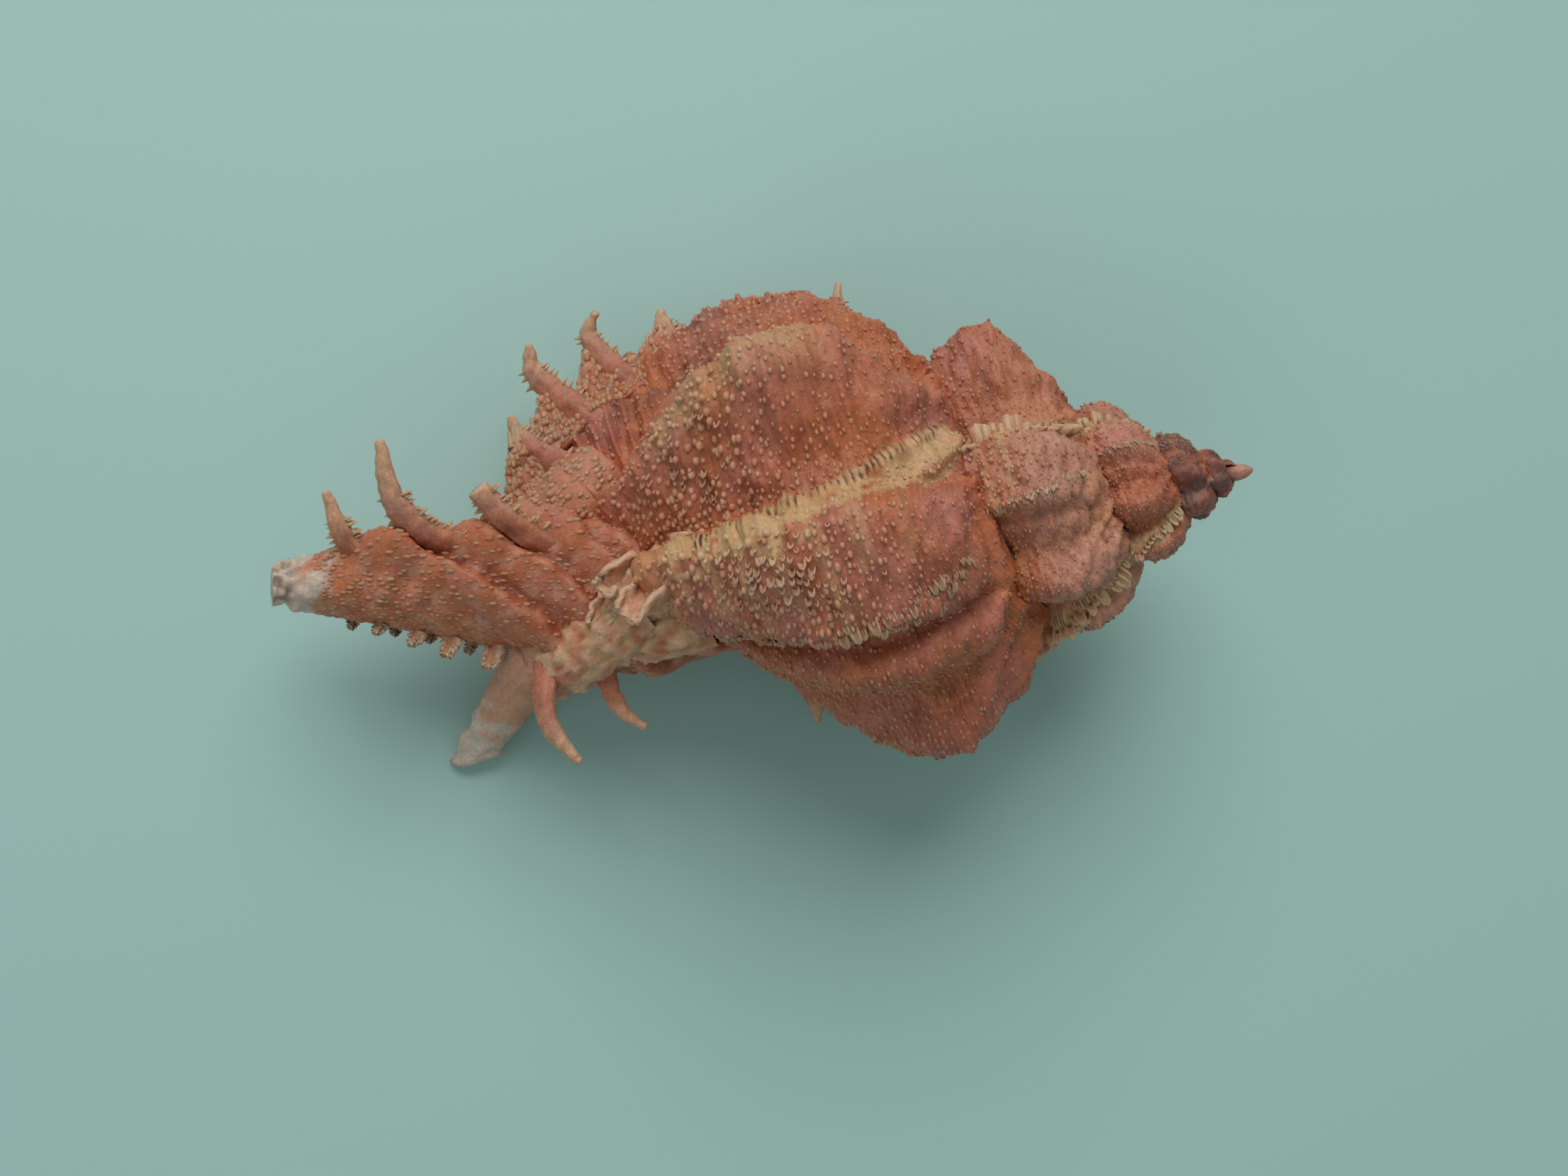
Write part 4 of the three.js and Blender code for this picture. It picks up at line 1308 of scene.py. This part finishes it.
def wall_scales(from_angle, to_angle, last_place, gap, seed):
    """Scales on every cord of a stretch of wall."""
    rng = np.random.default_rng(seed)
    angles = []
    places = []
    for cord in range(FIRST_SCALED_CORD, int(arc_at(last_place) / (CORD_GAP * gap))):
        place = place_at(cord * CORD_GAP * gap)
        radius = blend_rows(WALL, np.array(place))[1]
        step = math.degrees(SCALE_GAP * gap / radius)
        row = np.arange(from_angle + rng.uniform(0, step), to_angle, step)
        angles.append(row + rng.normal(0, 0.22 * step, len(row)))
        places.append(np.full(len(row), place) + rng.normal(0, 0.003, len(row)))
    angle = np.concatenate(angles)
    place = np.clip(np.concatenate(places), 0.001, 0.995)
    bold = boldness(angle, place)
    size = growth(angle) * gap
    points, outward, onward = skin(angle, place)
    vary = rng.uniform(0.5, 1.25, len(angle))
    masks = wall_masks(angle, place, points)
    # How strong the painted highlight is on each scale's rim or grain top, stronger on bold scales.
    masks["pale"] = share_of(0.22 + 0.55 * bold + rng.normal(0, 0.13, len(angle)))
    clear = band(since_line(angle, place), -0.8, 3.5, 0.2) < 0.5
    keep = clear & (rng.uniform(size=len(angle)) > 0.08)
    bold, size, vary = bold[keep], size[keep], vary[keep]
    points, outward, onward = points[keep], outward[keep], onward[keep]
    masks = pick(masks, keep)
    open_ones = bold + rng.normal(0, 0.16, len(bold)) > 0.66
    beads = ~open_ones
    width = SCALE_WIDTH * size * (0.7 + 0.9 * bold) * vary
    height = SCALE_WIDTH * size * (0.26 + 1.0 * bold) * vary
    lean = 0.35 + 0.3 * bold
    hollow = share_of(0.3 + 0.8 * bold)
    shapes = (points, outward, onward, width, height)
    gutters = [values[open_ones] for values in (*shapes, lean, hollow)]
    grains = [values[beads] for values in shapes]
    return join([
        scale_patch(*gutters, pick(masks, open_ones), seed),
        bead_patch(*grains, pick(masks, beads)),
    ])


def fringe(angles, places, tilt, size, seed):
    """A row of larger scales on the wall. Tilt leans them to the older side."""
    rng = np.random.default_rng(seed)
    angle = angles + rng.normal(0, 1.2, len(angles))
    point, outward, onward = skin(angle, places)
    up = unit(outward * math.cos(tilt) - onward * math.sin(tilt))
    ahead = unit(onward * math.cos(tilt) + outward * math.sin(tilt))
    vary = size * growth(angle) * rng.uniform(0.55, 1.3, len(angle))
    masks = wall_masks(angle, places, point)
    # Strong painted highlight on the rims of these larger scales.
    masks["pale"] = share_of(0.8 + rng.normal(0, 0.15, len(angle)))
    masks["cream"] = share_of(masks["cream"] + 0.35)
    return scale_patch(point, up, ahead, 0.75 * vary, vary, 0.25, 0.8, masks, seed)


def varix_fringes():
    """Scales along the ledges, and longer ones along the crests of the varices that stand in the open."""
    rows = []
    for index, varix in list(enumerate(VARIX_ANGLES))[1:11]:
        last_place, count = (0.93, 62) if index < 3 else (0.56, 34)
        places = np.linspace(0.14, last_place, count)
        ledge = varix - 23 + lead(places) * 0.5
        rows.append(fringe(ledge, places, math.radians(50), 0.85, 400 + index))
        rows.append(fringe(ledge - 2.5, places, math.radians(75), 0.7, 420 + index))
        if index > 1:
            crest = varix + 3 + lead(places[::2])
            rows.append(fringe(crest, places[::2], math.radians(10), 2.1, 440 + index))
    return join(rows)


def build_scales(material):
    add_piece("varix_fringes", varix_fringes(), material)
    add_piece("scales_newer", wall_scales(-175, LIP_REACH, 1, 1, 200), material)
    add_piece("scales_older", wall_scales(BODY_WHORL_START, -175, 1, 1, 201), material)
    spire = join([
        wall_scales(-704, BODY_WHORL_START, 0.58, 1.25, 210),
        wall_scales(-1180, -704, 0.55, 1.8, 211),
    ])
    add_piece("scales_spire", spire, material)


# ---- Stage ----
FLOOR_COLOUR = (0.40, 0.62, 0.58)
CAMERA_AT = (-0.016001, -0.015687, 0.143768)
CAMERA_TURN = (6.11, -6.35, -9.865)  # degrees
LENS_MM = 50
SENSOR_MM = 36
LIGHTS = (  # name, place, size and watts, colour
    ("key", (0.02, 0.32, 0.40), 0.42, 1.65, (1.0, 0.98, 0.95)),
    ("fill", (-0.35, -0.25, 0.40), 0.5, 0.42, (0.95, 1.0, 1.0)),
)
SKY_COLOUR = (0.80, 0.93, 0.92)
SKY_STRENGTH = 0.25


def build_floor():
    nodes = Nodes("floor")
    nodes.shader.inputs["Base Color"].default_value = (*FLOOR_COLOUR, 1)
    nodes.shader.inputs["Roughness"].default_value = 0.6
    half = 1.5
    corners = [(-half, -half, 0), (half, -half, 0), (half, half, 0), (-half, half, 0)]
    mesh = bpy.data.meshes.new("floor")
    mesh.from_pydata(corners, [], [(0, 1, 2, 3)])
    mesh.materials.append(nodes.material)
    floor = bpy.data.objects.new("floor", mesh)
    bpy.context.scene.collection.objects.link(floor)


def area_light(name, place, size, energy, colour):
    light = bpy.data.lights.new(name, "AREA")
    light.shape = "DISK"
    light.size = size
    light.energy = energy
    light.color = colour
    lamp = bpy.data.objects.new(name, light)
    lamp.location = place
    lamp.rotation_euler = (-Vector(place)).to_track_quat("-Z", "Y").to_euler()
    bpy.context.scene.collection.objects.link(lamp)


def build_lights():
    for light in LIGHTS:
        area_light(*light)
    world = bpy.data.worlds.new("studio")
    world.use_nodes = True
    background = world.node_tree.nodes["Background"]
    background.inputs["Color"].default_value = (*SKY_COLOUR, 1)
    background.inputs["Strength"].default_value = SKY_STRENGTH
    bpy.context.scene.world = world


def build_camera():
    camera_data = bpy.data.cameras.new("camera")
    camera_data.lens = LENS_MM
    camera_data.sensor_width = SENSOR_MM
    camera_data.clip_start = 0.01
    camera = bpy.data.objects.new("camera", camera_data)
    camera.location = CAMERA_AT
    camera.rotation_euler = Euler([math.radians(turn) for turn in CAMERA_TURN])
    bpy.context.scene.collection.objects.link(camera)
    bpy.context.scene.camera = camera


def build_shell():
    surface = shell_material("shell_surface")
    scaly = shell_material("shell_scales", grain=0.4)
    build_whorls(surface)
    build_canal(surface)
    build_spines(surface)
    add_piece("old_canal", old_canal_patch(), surface)
    add_piece("apex", apex_patch(), surface)
    build_wing(surface)
    build_lobes(surface)
    build_mouth(surface)
    build_scales(scaly)


build_shell()
build_floor()
build_lights()
build_camera()
bpy.context.scene.view_settings.view_transform = "Standard"
